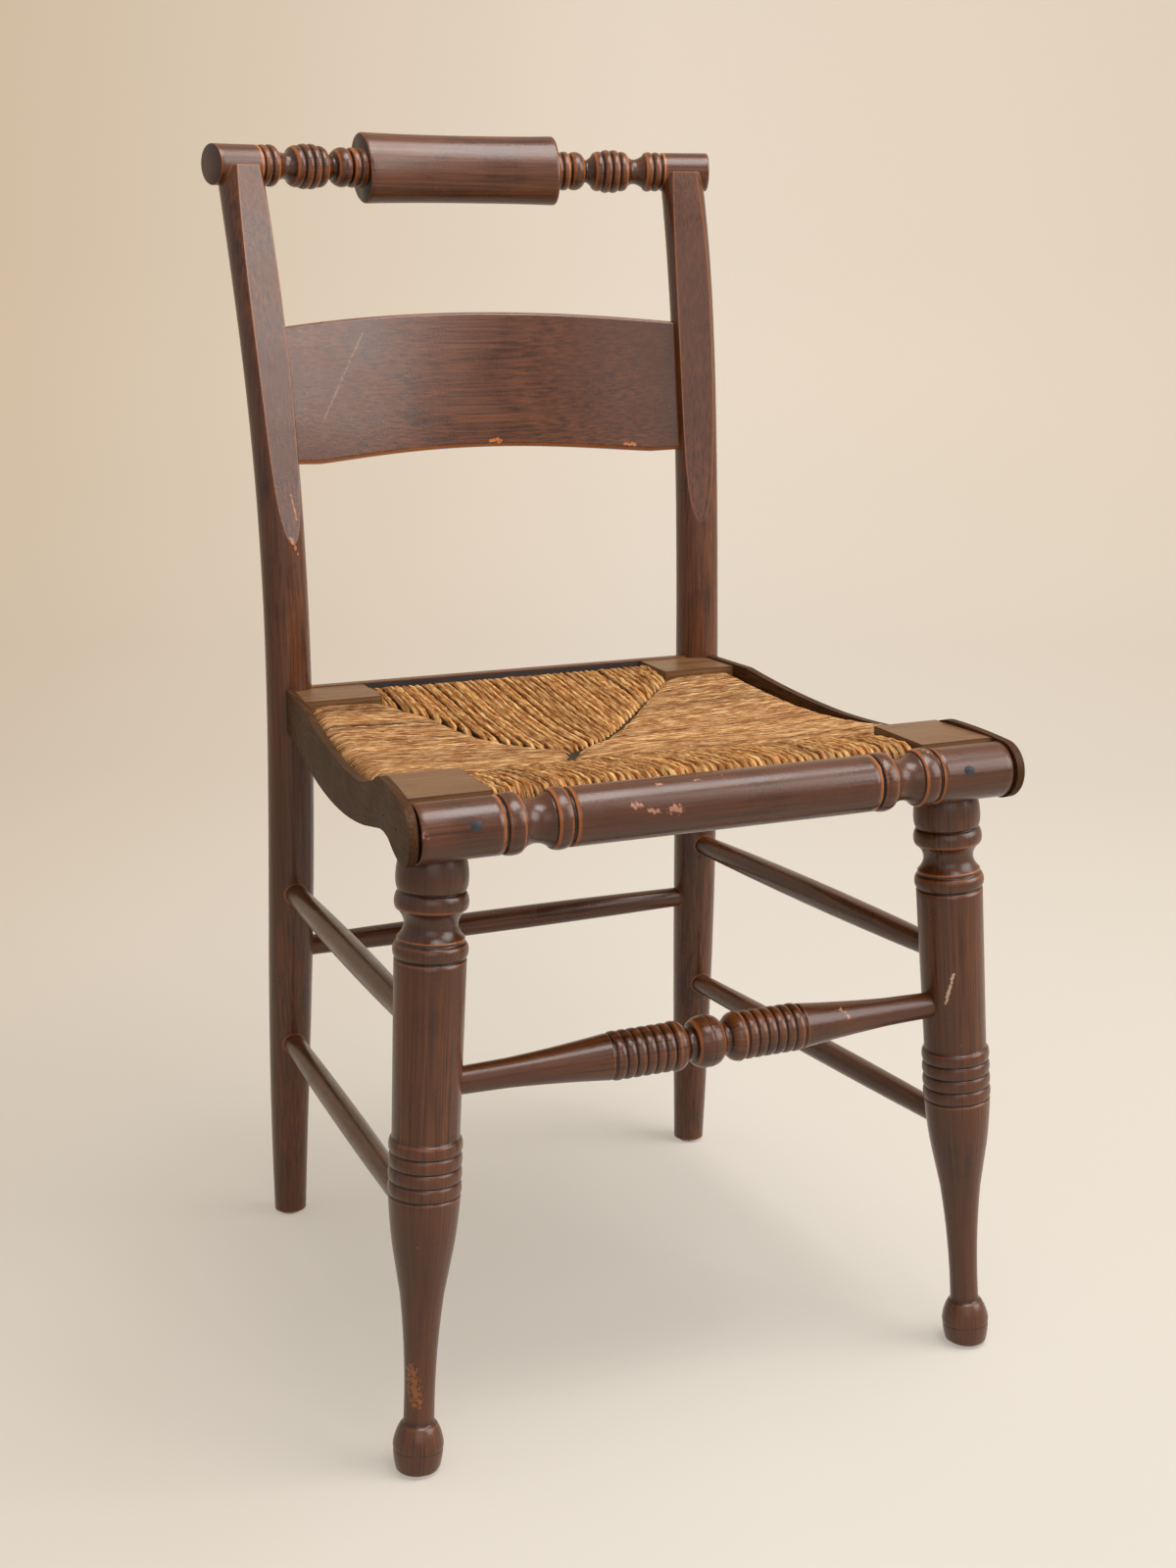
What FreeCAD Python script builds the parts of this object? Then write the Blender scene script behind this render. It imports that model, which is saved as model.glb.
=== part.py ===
"""Side chair with a turned pillow crest, one bent slat and a woven rush seat.

The chair is built as its maker would join it. Turned legs, posts and stretchers
are bored and tenoned together, four corner blocks and four lists carry the seat,
and thin casings with a turned front roll trim the seat's edge.

All sizes are in millimetres and degrees. The chair faces -Y, stands on z = 0,
and its origin lies under the middle of its outer box.
"""
import FreeCAD, Part
import math
import os
import Sketcher
from FreeCAD import Placement, Rotation, Vector

os.makedirs("parts", exist_ok=True)
doc = FreeCAD.newDocument("PillowBackChair")
sheet = doc.addObject("Spreadsheet::Sheet", "values")

SIZES = [
    # Where the pieces stand
    ("front_foot_half", 213.6, "centre line to the middle of a front foot"),
    ("front_leg_splay", 3.47, "sideways lean of a front leg, degrees"),
    ("front_leg_rake", 3.01, "backward lean of a front leg, degrees"),
    ("glide_thick", 3.0, "thickness of a glide under a foot"),
    ("joint_gap", 0.1, "glue gap all round a tenon or a let-in piece"),
    ("tenon_inset", 8.0, "how far a stretcher stops short of the leg's middle"),
    ("socket_run_out", 12.0, "how far a boring tool stands out of the leg"),
    ("tool_reach", 120.0, "how far a trimming tool stands out of its piece"),
    ("bead_facets", 4, "straight steps that make up a turned bead or hollow"),
    # Seat frame
    ("seat_under", 418.0, "underside of the front corner blocks"),
    ("front_block_top", 39.0, "top of the front corner blocks"),
    ("rear_block_under", -3.0, "underside of the rear corner blocks"),
    ("rear_block_top", 31.0, "top of the rear corner blocks"),
    ("front_block_face", 3.0, "front face of the front blocks, back of the roll"),
    ("front_block_back", 65.0, "back face of the front corner blocks"),
    ("front_block_inner", 155.0, "centre line to the inner side of a front block"),
    ("rear_block_face", 331.0, "front face of the rear corner blocks"),
    ("rear_block_inner", 120.0, "centre line to the inner side of a rear block"),
    ("rear_frame_back", 380.0, "back face of the rear blocks and of the rush"),
    ("block_edge", 1.2, "rounded edge of a corner block"),
    ("casing_thick", 6.0, "thickness of the three casings"),
    ("casing_front_half", 218.0, "outside of a side casing at the roll's axis"),
    ("casing_rear_half", 184.0, "outside of a side casing at the rear post"),
    ("casing_rear_top", 32.5, "top edge of a side casing at the rear post"),
    ("casing_rear_low", -1.0, "lower edge of a side casing at the rear post"),
    ("casing_dip_top", 21.0, "lowest point of a side casing's top edge"),
    ("casing_dip_low", -14.0, "lowest point of a side casing's lower edge"),
    ("casing_dip_at", 190.0, "distance of the dip behind the roll's axis"),
    ("casing_hump_top", 41.5, "top of the hump beside the front block"),
    ("casing_hump_at", 58.0, "distance of the hump behind the roll's axis"),
    ("casing_hump_back", 16.0, "length of the hump's rounded back"),
    ("casing_hump_fall", 5.5, "fall of the top edge over that length"),
    ("casing_slope_at", 122.0, "distance where the slope behind the hump ends"),
    ("casing_slope_top", 23.5, "top edge where that slope ends"),
    ("casing_rise_at", 320.0, "distance where the top edge is level again"),
    ("casing_belly_front", 105.0, "distance where the lower edge's belly starts"),
    ("casing_belly_rear", 342.0, "distance where that belly ends"),
    ("casing_belly_end", -2.5, "height of both ends of the belly"),
    ("casing_nose_radius", 20.0, "half the height of the nose over the roll's end"),
    ("casing_nose_reach", 19.4, "how far the nose reaches before the roll's axis"),
    ("casing_notch_low", 7.0, "lower edge where the nose sweeps into the casing"),
    ("casing_notch_front", 36.0, "distance where that sweep starts"),
    ("casing_notch_rear", 62.0, "distance where it ends"),
    ("casing_sweep", 2.0, "how far the soft curves of the edges leave straight"),
    ("rear_casing_low", -2.0, "lower edge of the rear casing"),
    ("list_width", 22.0, "width of the four seat lists"),
    ("list_height", 20.0, "height of the four seat lists"),
    ("list_tenon", 14.0, "how far a list enters a corner block"),
    ("list_shoulder", 3.0, "shoulder round a list's tenon"),
    ("rush_wrap", 7.0, "rush between a list and the outside of the seat"),
    ("rush_middle", 15.0, "thickness of the rush in the middle of the seat"),
    ("rush_low_point", 16.0, "top of the rush where the seat sags most"),
    ("rush_low_at", 190.0, "distance of that low point behind the front feet"),
    ("rush_gap", 0.4, "air between the rush and the wood beside it"),
    # Front roll
    ("roll_axis_front", 6.0, "how far the roll's axis lies before the front feet"),
    ("roll_axis_up", 19.0, "height of the roll's axis"),
    ("roll_end_radius", 19.0, "radius of the roll's plain ends"),
    ("roll_middle_radius", 19.1, "radius of the roll's long middle"),
    ("roll_middle_length", 218.0, "length of the roll's long middle"),
    ("roll_bead_radius", 19.8, "radius of the four beads"),
    ("roll_outer_bead", 12.0, "width of an outer bead"),
    ("roll_inner_bead", 11.0, "width of an inner bead"),
    ("roll_groove_radius", 17.8, "radius in the dark grooves"),
    ("roll_groove", 2.0, "width of a groove"),
    ("roll_fillet", 1.0, "width of the step beside a cove"),
    ("roll_fillet_radius", 17.2, "radius of that step"),
    ("roll_cove", 18.5, "width of a cove"),
    ("roll_cove_radius", 14.3, "least radius of a cove"),
    ("roll_screw_half", 176.0, "centre line to a roll screw"),
    ("roll_screw_up", 23.5, "height of the roll screws"),
    # Front leg, from the floor up
    ("leg_seam_turn", 250.0, "turn that keeps a leg's seam away from its mortises"),
    ("foot_base_radius", 13.4, "radius of a front foot at the floor"),
    ("foot_ball_radius", 16.2, "greatest radius of the foot"),
    ("foot_low", 17.0, "length of the foot up to its greatest radius"),
    ("foot_high", 17.0, "length of the foot above it"),
    ("ankle_radius", 10.1, "radius of the ankle"),
    ("ankle_length", 17.5, "length of the straight ankle"),
    ("calf_length", 72.0, "length of the hollow taper above the ankle"),
    ("calf_radius", 14.6, "radius at the top of the hollow taper"),
    ("knee_length", 31.0, "length of the straight taper"),
    ("knee_radius", 19.9, "radius at the top of the straight taper"),
    ("thigh_length", 36.0, "length of the swelling under the rings"),
    ("thigh_radius", 23.4, "radius under the rings"),
    ("leg_ring_count", 4, "number of rings on a front leg"),
    ("leg_ring", 9.5, "width of a ring"),
    ("leg_ring_radius", 23.8, "greatest radius of a ring"),
    ("leg_ring_groove", 22.6, "radius between two rings"),
    ("shaft_low_radius", 22.0, "radius of the plain shaft above the rings"),
    ("shaft_high_radius", 23.2, "radius of the plain shaft under the collar"),
    ("collar", 10.5, "width of the collar"),
    ("collar_radius", 23.9, "greatest radius of the collar"),
    ("collar_edge_radius", 21.8, "radius beside the collar"),
    ("leg_fillet", 2.5, "width of the step above the collar"),
    ("leg_cove", 18.5, "width of the cove"),
    ("leg_cove_radius", 18.0, "least radius of the cove"),
    ("leg_bead", 12.0, "width of the bead above the cove"),
    ("leg_bead_radius", 23.5, "greatest radius of that bead"),
    ("leg_bead_edge", 20.9, "radius beside that bead"),
    ("leg_ball", 27.75, "length of the ball under the seat"),
    ("leg_ball_trim", 3.0, "length of the ball that the level cut takes off"),
    ("leg_ball_radius", 22.4, "greatest radius of the ball under the seat"),
    ("leg_ball_top_radius", 17.7, "radius of the ball against the block"),
    ("leg_tenon_radius", 11.0, "radius of the tenon in the corner block"),
    ("leg_tenon_length", 30.0, "length of that tenon"),
    # Rear posts, stations from the floor up
    ("post_foot_half", 185.3, "centre line to the post at the floor"),
    ("post_foot_back", 407.4, "distance of the post at the floor"),
    ("post_low_up", 220.0, "height of the station below the seat"),
    ("post_low_half", 181.2, "centre line to the post at that station"),
    ("post_low_back", 395.7, "distance of the post there"),
    ("post_seat_up", 22.0, "height of the station at the seat"),
    ("post_seat_half", 176.9, "centre line to the post at the seat"),
    ("post_seat_back", 388.6, "distance of the post at the seat"),
    ("post_bend_up", 640.0, "height of the station in the bend"),
    ("post_bend_half", 178.6, "centre line to the post there"),
    ("post_bend_back", 401.5, "distance of the post there"),
    ("post_top_up", 841.0, "height of the top station, the crest's axis"),
    ("post_top_half", 185.6, "centre line to the post there"),
    ("post_top_back", 450.5, "distance of the post there"),
    ("post_foot_radius", 12.8, "radius of a post at the floor"),
    ("post_shin_radius", 15.2, "radius a fifth of the way to the seat"),
    ("post_low_radius", 17.5, "radius at the station below the seat"),
    ("post_seat_radius", 17.6, "radius at the seat"),
    ("post_top_radius", 17.1, "radius at the crest"),
    ("post_flat_start", 562.0, "height where the flat of the front face begins"),
    ("post_flat_full", 655.0, "height where the flat has its full depth"),
    ("post_flat_offset", 12.2, "from the post's middle to its flat front"),
    ("post_flat_turn", 15.0, "turn of the flat towards the middle, degrees"),
    ("post_tenon_radius", 8.0, "radius of a post's tenon in the crest"),
    ("post_tenon_length", 8.0, "length of that tenon above the crest's axis"),
    # Bent crest rail, lengths along its bend
    ("crest_half_chord", 209.0, "centre line to an end of the crest rail"),
    ("crest_bow", 31.0, "depth of the crest's backward bow"),
    ("crest_behind_post", 3.0, "crest axis behind the post's middle"),
    ("crest_end_radius", 15.2, "radius of the plain ends"),
    ("crest_end_start", 170.0, "where a plain end begins"),
    ("crest_groove", 1.4, "width of a groove"),
    ("crest_groove_depth", 1.6, "depth of a groove"),
    ("crest_outer_bead", 8.0, "width of the bead beside a plain end"),
    ("crest_outer_bell", 9.0, "length of the bell between that bead and the neck"),
    ("crest_outer_neck_radius", 10.7, "radius of the outer neck"),
    ("crest_outer_taper", 5.4, "from the outer neck to the three beads"),
    ("crest_bead", 9.6, "width of each of the three beads"),
    ("crest_bead_radius", 15.4, "radius of the two outer ones"),
    ("crest_middle_bead_radius", 16.3, "radius of the middle one"),
    ("crest_inner_taper", 6.4, "from the three beads to the inner neck"),
    ("crest_inner_neck_radius", 8.5, "radius of the inner neck"),
    ("crest_inner_bell", 6.4, "from the inner neck to the inner beads"),
    ("crest_inner_bead", 10.0, "width of each inner bead"),
    ("crest_inner_bead_radius", 14.7, "radius of the inner beads"),
    ("pillow_half_height", 27.8, "half the height of the pillow's oval"),
    ("pillow_half_depth", 19.5, "half the depth of the pillow's oval"),
    ("pillow_lean", 17.0, "backward lean of the oval, degrees"),
    ("pillow_half_length", 82.0, "half the length of the pillow along the bend"),
    ("pillow_edge", 1.5, "rounded rim of the pillow's end"),
    # Bent slat
    ("slat_low_up", 620.5, "height of the slat's lower edge at its ends"),
    ("slat_height", 102.0, "height of the slat at its ends"),
    ("slat_crown", 10.5, "rise of the slat's top edge"),
    ("slat_arch", 6.5, "rise of the slat's lower edge"),
    ("slat_arch_half", 122.0, "half the width of that rise"),
    ("slat_thick", 9.0, "thickness of the slat"),
    ("slat_bow", 32.0, "depth of the slat's backward bow"),
    ("slat_rake", 10.8, "backward lean of the slat, degrees"),
    ("slat_end_half", 174.0, "centre line to an end of the slat, inside a post"),
    # Front stretcher, from its middle out
    ("front_stretcher_up", 263.6, "height of the front stretcher"),
    ("spool_ball", 27.0, "width of the middle ball"),
    ("spool_ball_radius", 18.0, "radius of the middle ball"),
    ("spool_neck", 1.8, "width of the neck beside the ball"),
    ("spool_neck_radius", 12.4, "radius of that neck"),
    ("spool_head_slope", 8.0, "width of the head's slope to the neck"),
    ("spool_head", 4.0, "width of the rest of the head"),
    ("spool_head_radius", 16.8, "radius of the head"),
    ("spool_ring_count", 6, "number of rings on each side"),
    ("spool_ring", 7.15, "width of a ring"),
    ("spool_ring_radius", 16.3, "greatest radius of a ring"),
    ("spool_groove_radius", 14.9, "radius between two rings"),
    ("spool_taper", 70.0, "length of the hollow taper"),
    ("spool_taper_radius", 15.6, "radius at the thick end of the taper"),
    ("spool_taper_low", 9.8, "radius at its thin end"),
    ("spool_end_radius", 9.1, "radius where it enters a leg"),
    # Plain stretchers
    ("upper_front_up", 298.0, "height of an upper side stretcher at the front leg"),
    ("upper_rear_up", 284.0, "its height at the rear post"),
    ("lower_front_up", 170.5, "height of a lower side stretcher at the front leg"),
    ("lower_rear_up", 155.5, "its height at the rear post"),
    ("rear_stretcher_up", 234.5, "height of the rear stretcher"),
    ("rail_radius", 10.1, "radius in the middle of a plain stretcher"),
    ("rail_end_radius", 8.2, "radius where a plain stretcher enters a leg"),
    ("rail_end_length", 14.0, "length of that straight end"),
    # Fixings
    ("glide_radius", 9.5, "radius of a glide"),
    ("glide_nail_radius", 1.3, "radius of a glide's nail"),
    ("glide_nail_length", 15.0, "length of a glide's nail"),
    ("screw_head_radius", 4.8, "radius of a roll screw's head"),
    ("screw_head_depth", 3.2, "depth of a roll screw's head"),
    ("screw_shank_radius", 2.0, "radius of a roll screw's shank"),
    ("screw_length", 34.0, "length of a roll screw"),
    ("dowel_radius", 4.0, "radius of the dowel between post and rear block"),
    ("dowel_half", 167.5, "centre line to a post dowel"),
    ("dowel_up", 15.0, "height of a post dowel"),
    ("dowel_start_back", 354.0, "distance of a dowel's front end"),
    ("dowel_length", 36.0, "length of a post dowel"),
    ("brad_radius", 0.9, "radius of a casing brad"),
    ("brad_length", 17.0, "length of a casing brad"),
    ("brad_set", 0.6, "how deep a brad's head is set below the face"),
    ("brad_front_near_back", 8.0, "distance of the first brad in a front block"),
    ("brad_front_far_back", 42.0, "distance of the second one"),
    ("brad_front_up", 19.0, "height of both"),
    ("brad_rear_back", 357.0, "distance of the brads in a rear block"),
    ("brad_rear_low_up", 3.5, "height of the lower one"),
    ("brad_rear_high_up", 25.0, "height of the upper one"),
    ("brad_inner_half", 140.0, "centre line to the inner brad of the rear casing"),
    ("brad_outer_half", 155.0, "centre line to its outer brad"),
    ("brad_rear_casing_up", 15.0, "height of the rear casing's brads"),
]
for row, (name, number, meaning) in enumerate(SIZES, start=1):
    sheet.set("A%d" % row, name)
    sheet.set("B%d" % row, str(number))
    sheet.setAlias("B%d" % row, name)
    sheet.set("C%d" % row, meaning)
doc.recompute()


def size(name):
    """The number that the sheet holds under a name."""
    return float(sheet.get(name))


class Size:
    """A number together with the sheet formula that gives it."""

    def __init__(self, number, formula):
        self.number = number
        self.formula = formula

    def joined(self, sign, other):
        if not isinstance(other, Size):
            other = Size(float(other), str(other))
        a, b = self.number, other.number
        result = {"+": a + b, "-": a - b, "*": a * b, "/": a / b if b else 0.0}[sign]
        return Size(result, "(%s %s %s)" % (self.formula, sign, other.formula))

    def __add__(self, other):
        return self.joined("+", other)

    def __sub__(self, other):
        return self.joined("-", other)

    def __mul__(self, other):
        return self.joined("*", other)

    def __truediv__(self, other):
        return self.joined("/", other)


def named(name):
    """The sheet value of that name, with its formula."""
    return Size(size(name), "<<values>>." + name)


def seat_level(name):
    """A height of the seat, which the sheet gives above the front blocks' underside."""
    return named("seat_under") + named(name)


def seat_height(name):
    """That height as a plain number."""
    return seat_level(name).number


def checked(thing):
    """Stops the build at the first object that failed."""
    if "Invalid" in thing.State or "Error" in thing.State:
        raise RuntimeError(thing.Name + " did not build")
    if thing.Shape.isNull() or not thing.Shape.isValid():
        raise RuntimeError(thing.Name + " has a bad shape")
    return thing


ZERO = Size(0.0, "0")
UP = Vector(0, 0, 1)


def plane_of(body, role):
    """One of the body's own origin planes."""
    for item in body.Origin.OriginFeatures:
        if item.Role == role:
            return item
    raise RuntimeError("no plane " + role)


def closed_outline(body, name, plane, start, steps):
    """A closed sketch on one of the body's own planes."""
    sketch = body.newObject("Sketcher::SketchObject", name)
    sketch.AttachmentSupport = (plane_of(body, plane), [""])
    sketch.MapMode = "FlatFace"
    return draw_outline(sketch, start, steps)


def draw_outline(sketch, start, steps):
    """Draws lines and arcs through points that are sheet formulas.

    Each step is (across, up, bulge): the next point, and how far the edge to it
    swells to the right of its way, 0 for a straight edge.
    """
    here = start
    first = None
    for across, up, bulge in steps:
        p = Vector(here[0].number, here[1].number, 0)
        q = Vector(across.number, up.number, 0)
        chord = q - p
        if isinstance(bulge, Size):
            side = Vector(chord.y, -chord.x, 0).normalize()
            depth = bulge.number
            reach = (chord.Length ** 2 / 4 - depth ** 2) / (2 * depth)
            centre = (p + q) * 0.5 - side * reach
            turns_left = depth > 0
            low, high = (p - centre, q - centre) if turns_left else (q - centre, p - centre)
            from_angle = math.atan2(low.y, low.x)
            to_angle = math.atan2(high.y, high.x)
            if to_angle < from_angle:
                to_angle += 2 * math.pi
            ring = Part.Circle(centre, UP, low.Length)
            n = sketch.addGeometry(Part.ArcOfCircle(ring, from_angle, to_angle), False)
            begin, end = (1, 2) if turns_left else (2, 1)
        else:
            n = sketch.addGeometry(Part.LineSegment(p, q), False)
            begin, end = 1, 2
        if first is None:
            first = (n, begin)
        else:
            sketch.addConstraint(Sketcher.Constraint("Coincident", last[0], last[1], n, begin))
        last = (n, end)
        if isinstance(bulge, Size):
            run = across - here[0]
            rise = up - here[1]
            half = (run * run + rise * rise) / 4
            radius = (half + bulge * bulge) / (bulge * 2)
            if bulge.number < 0:
                radius = radius * -1
            hold(sketch, Sketcher.Constraint("Radius", n, radius.number), radius)
        if (across.formula, up.formula) != (start[0].formula, start[1].formula):
            hold(sketch, Sketcher.Constraint("DistanceX", -1, 1, n, end, q.x), across)
            hold(sketch, Sketcher.Constraint("DistanceY", -1, 1, n, end, q.y), up)
        here = (across, up)
    sketch.addConstraint(Sketcher.Constraint("Coincident", last[0], last[1], first[0], first[1]))
    hold(sketch, Sketcher.Constraint("DistanceX", -1, 1, first[0], first[1], start[0].number), start[0])
    hold(sketch, Sketcher.Constraint("DistanceY", -1, 1, first[0], first[1], start[1].number), start[1])
    return sketch


def hold(sketch, constraint, amount):
    """Adds a constraint and binds it to its sheet formula."""
    n = sketch.addConstraint(constraint)
    if amount.formula != "0":
        sketch.setExpression("Constraints[%d]" % n, amount.formula)


class Turning:
    """Half outline of a turned piece, walked along its axis from one end."""

    def __init__(self, start_radius):
        self.along = ZERO
        self.radius = start_radius
        self.steps = [(start_radius, ZERO, 0)]

    def to(self, length, radius, bulge=0):
        """Goes on by a length to a radius, straight or with a swelling."""
        self.along = self.along + length
        self.radius = radius
        self.steps.append((radius, self.along, bulge))
        return self

    def straight(self, length):
        return self.to(length, self.radius)

    def bead(self, length, peak, end=None):
        """A round bead or, with a smaller peak, a hollow cove, in straight steps."""
        end = end or self.radius
        start = self.radius
        swell = peak - (start + end) / 2
        count = int(size("bead_facets"))
        before = 0.0
        for step in range(1, count + 1):
            turn = math.pi * step / count
            share = (1 - math.cos(turn)) / 2
            out = math.sin(turn) if step < count else 0.0
            radius = start + (end - start) * round(share, 5) + swell * round(out, 5)
            self.to(length * round(share - before, 5), radius if step < count else end)
            before = share
        return self

    def body(self, label):
        """The turned blank, its axis on Z and its first end at the origin."""
        body = doc.addObject("PartDesign::Body", label)
        steps = self.steps + [(ZERO, self.along, 0), (ZERO, ZERO, 0)]
        sketch = closed_outline(body, label + "_outline", "XZ_Plane", (ZERO, ZERO), steps)
        turned = body.newObject("PartDesign::Revolution", label + "_turning")
        turned.Profile = sketch
        turned.ReferenceAxis = (sketch, ["V_Axis"])
        turned.Angle = 360
        body.Tip = turned
        doc.recompute()
        return checked(body)


def pad_body(label, plane, start, steps, thickness, both_sides=False):
    """An outline padded by a thickness."""
    body = doc.addObject("PartDesign::Body", label)
    sketch = closed_outline(body, label + "_outline", plane, start, steps)
    pad = body.newObject("PartDesign::Pad", label + "_pad")
    pad.Profile = sketch
    pad.Length = thickness.number
    pad.setExpression("Length", thickness.formula)
    pad.Midplane = both_sides
    body.Tip = pad
    doc.recompute()
    return checked(body)


def lying(point, direction):
    """A place whose Z axis runs along a direction."""
    return Placement(point, Rotation(UP, direction))


def rod(label, radius, length, place):
    """A round tool or pin, its size tied to the sheet."""
    pin = doc.addObject("Part::Cylinder", label)
    pin.setExpression("Radius", radius.formula)
    pin.setExpression("Height", length.formula)
    pin.Placement = place
    doc.recompute()
    return checked(pin)


def block(label, low, high):
    """A box between two corners."""
    box = doc.addObject("Part::Box", label)
    box.Length, box.Width, box.Height = high - low
    box.Placement.Base = low
    return box


def cut(label, base, tools):
    """The base without its tools."""
    tool = tools[0]
    if len(tools) > 1:
        tool = doc.addObject("Part::MultiFuse", label + "_tools")
        tool.Shapes = tools
    result = doc.addObject("Part::Cut", label)
    result.Base, result.Tool = base, tool
    doc.recompute()
    return checked(result)


def joined(label, pieces):
    """Pieces made into one solid."""
    result = doc.addObject("Part::MultiFuse", label)
    result.Shapes = pieces
    doc.recompute()
    return checked(result)


def shared(label, pieces):
    """What two shapes have in common."""
    result = doc.addObject("Part::Common", label)
    result.Base, result.Tool = pieces
    doc.recompute()
    return checked(result)


def group(label, pieces):
    """Separate solids kept under one name."""
    result = doc.addObject("Part::Compound", label)
    result.Links = pieces
    doc.recompute()
    return checked(result)


nodes = []


def finish(thing, name):
    """Names a finished piece and shifts it to the chair's own origin."""
    thing.Label = name
    thing.Placement = Placement(Vector(0, -depth_middle, 0), Rotation()) * thing.Placement
    nodes.append(thing)
    return thing


# Places that several pieces share
gap = named("joint_gap")
gap_width = gap.number
left_and_right = ((-1, "left"), (1, "right"))
leg_lean = math.tan(math.radians(size("front_leg_splay")))
leg_rake = math.tan(math.radians(size("front_leg_rake")))
floor = size("glide_thick")


def front_leg_at(side, height):
    """Middle of a front leg at a height."""
    half = size("front_foot_half") - leg_lean * height
    return Vector(side * half, leg_rake * height, height)


post_up = {
    "foot": 0.0,
    "low": size("post_low_up"),
    "seat": seat_height("post_seat_up"),
    "bend": size("post_bend_up"),
    "top": size("post_top_up"),
}


def post_curve(side):
    """The bent centre line of a rear post, through its five stations."""
    points = []
    for station, up in post_up.items():
        half = size("post_%s_half" % station)
        points.append(Vector(side * half, size("post_%s_back" % station), up))
    curve = Part.BSplineCurve()
    curve.interpolate(points)
    return curve


def on_post(curve, height):
    """Point and direction of a post at a height."""
    low, high = curve.FirstParameter, curve.LastParameter
    for _ in range(40):
        middle = (low + high) / 2
        if curve.value(middle).z < height:
            low = middle
        else:
            high = middle
    return curve.value(low), Vector(*curve.tangent(low)[0])


def post_radius(height):
    """Radius of a post at a height, straight between its stations."""
    marks = [
        (0.0, size("post_foot_radius")),
        (seat_height("post_seat_up") / 5, size("post_shin_radius")),
        (size("post_low_up"), size("post_low_radius")),
        (seat_height("post_seat_up"), size("post_seat_radius")),
        (size("post_top_up"), size("post_top_radius")),
    ]
    for (z0, r0), (z1, r1) in zip(marks, marks[1:]):
        if height <= z1:
            return r0 + (r1 - r0) * (height - z0) / (z1 - z0)
    return marks[-1][1]


def casing_half(back, inside=0.0):
    """Half width over the side casings at a distance behind the front feet."""
    front, rear = size("casing_front_half"), size("casing_rear_half")
    start = -size("roll_axis_front")
    slope = (rear - front) / (size("post_seat_back") - size("post_seat_radius") - start)
    return front + slope * (back - start) - inside


chord, bow = size("crest_half_chord"), size("crest_bow")
crest_bend = (chord ** 2 + bow ** 2) / (2 * bow)
crest_at_post = size("post_top_back") + size("crest_behind_post")
post_sag = crest_bend - math.sqrt(crest_bend ** 2 - size("post_top_half") ** 2)
crest_middle = crest_at_post + post_sag
pillow_lean = math.radians(size("pillow_lean"))
pillow_reach = math.hypot(
    size("pillow_half_height") * math.sin(pillow_lean),
    size("pillow_half_depth") * math.cos(pillow_lean),
)
front_edge = -size("roll_axis_front") - size("roll_bead_radius")
depth_middle = (front_edge + crest_middle + pillow_reach) / 2


def crest_point(along):
    """Point and direction on the crest's bent axis, by length from its middle."""
    turn = along / crest_bend
    point = Vector(
        crest_bend * math.sin(turn),
        crest_middle - crest_bend * (1 - math.cos(turn)),
        size("post_top_up"),
    )
    return point, Vector(math.cos(turn), -math.sin(turn), 0)


# Front legs, turned from the floor up to the ball under the seat
foot = Turning(named("foot_base_radius"))
foot.bead(named("foot_low"), named("foot_ball_radius") - 0.4, named("foot_ball_radius"))
foot.bead(named("foot_high"), named("foot_ball_radius") - 0.6, named("ankle_radius") + 0.9)
foot.to(named("leg_fillet") / 2, named("ankle_radius") + 0.1)
foot.to(named("ankle_length"), named("ankle_radius"))
hollow = (named("ankle_radius") + named("calf_radius")) / 2 - 1.0
foot.bead(named("calf_length"), hollow, named("calf_radius"))
foot.to(named("knee_length"), named("knee_radius"))
swell = (named("knee_radius") + named("thigh_radius")) / 2 + 0.4
foot.bead(named("thigh_length"), swell, named("thigh_radius"))
foot.to(named("leg_fillet") / 2, named("leg_ring_groove"))
for _ in range(int(size("leg_ring_count"))):
    foot.bead(named("leg_ring"), named("leg_ring_radius"))
foot.to(named("leg_fillet"), named("shaft_low_radius"))
over_shaft = named("leg_fillet") * 1.5 + named("collar") + named("leg_cove")
over_shaft = over_shaft + named("leg_bead") + named("leg_ball")
leg_length = named("seat_under") + named("leg_ball_trim")
foot.to(leg_length - foot.along - over_shaft, named("shaft_high_radius"))
foot.to(named("leg_fillet") / 2, named("collar_edge_radius"))
foot.bead(named("collar"), named("collar_radius"))
foot.straight(named("leg_fillet"))
foot.bead(named("leg_cove"), named("leg_cove_radius"), named("leg_bead_edge") + 0.8)
foot.bead(named("leg_bead"), named("leg_bead_radius"), named("leg_bead_edge"))
foot.bead(named("leg_ball"), named("leg_ball_radius"), named("leg_ball_top_radius"))

reach = size("tool_reach")
for side, hand in left_and_right:
    base = front_leg_at(side, 0.0)
    lean = (front_leg_at(side, size("seat_under")) - base).normalize()
    blank = foot.body("front_leg_blank_" + hand)
    seam_in_front = Placement(Vector(), Rotation(UP, size("leg_seam_turn")))
    blank.Placement = lying(base, lean) * seam_in_front
    levels = block(
        "front_leg_levels_" + hand,
        Vector(base.x - reach, -reach, floor),
        Vector(base.x + reach, reach, size("seat_under")),
    )
    trimmed = shared("front_leg_trimmed_" + hand, (blank, levels))
    tenon_foot = front_leg_at(side, size("seat_under") - 10)
    tenon = rod(
        "front_leg_tenon_" + hand,
        named("leg_tenon_radius"),
        named("leg_tenon_length") + 10,
        lying(tenon_foot, lean),
    )
    whole = joined("front_leg_whole_" + hand, [trimmed, tenon])
    if side < 0:
        front_legs = {}
    front_legs[hand] = whole


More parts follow.
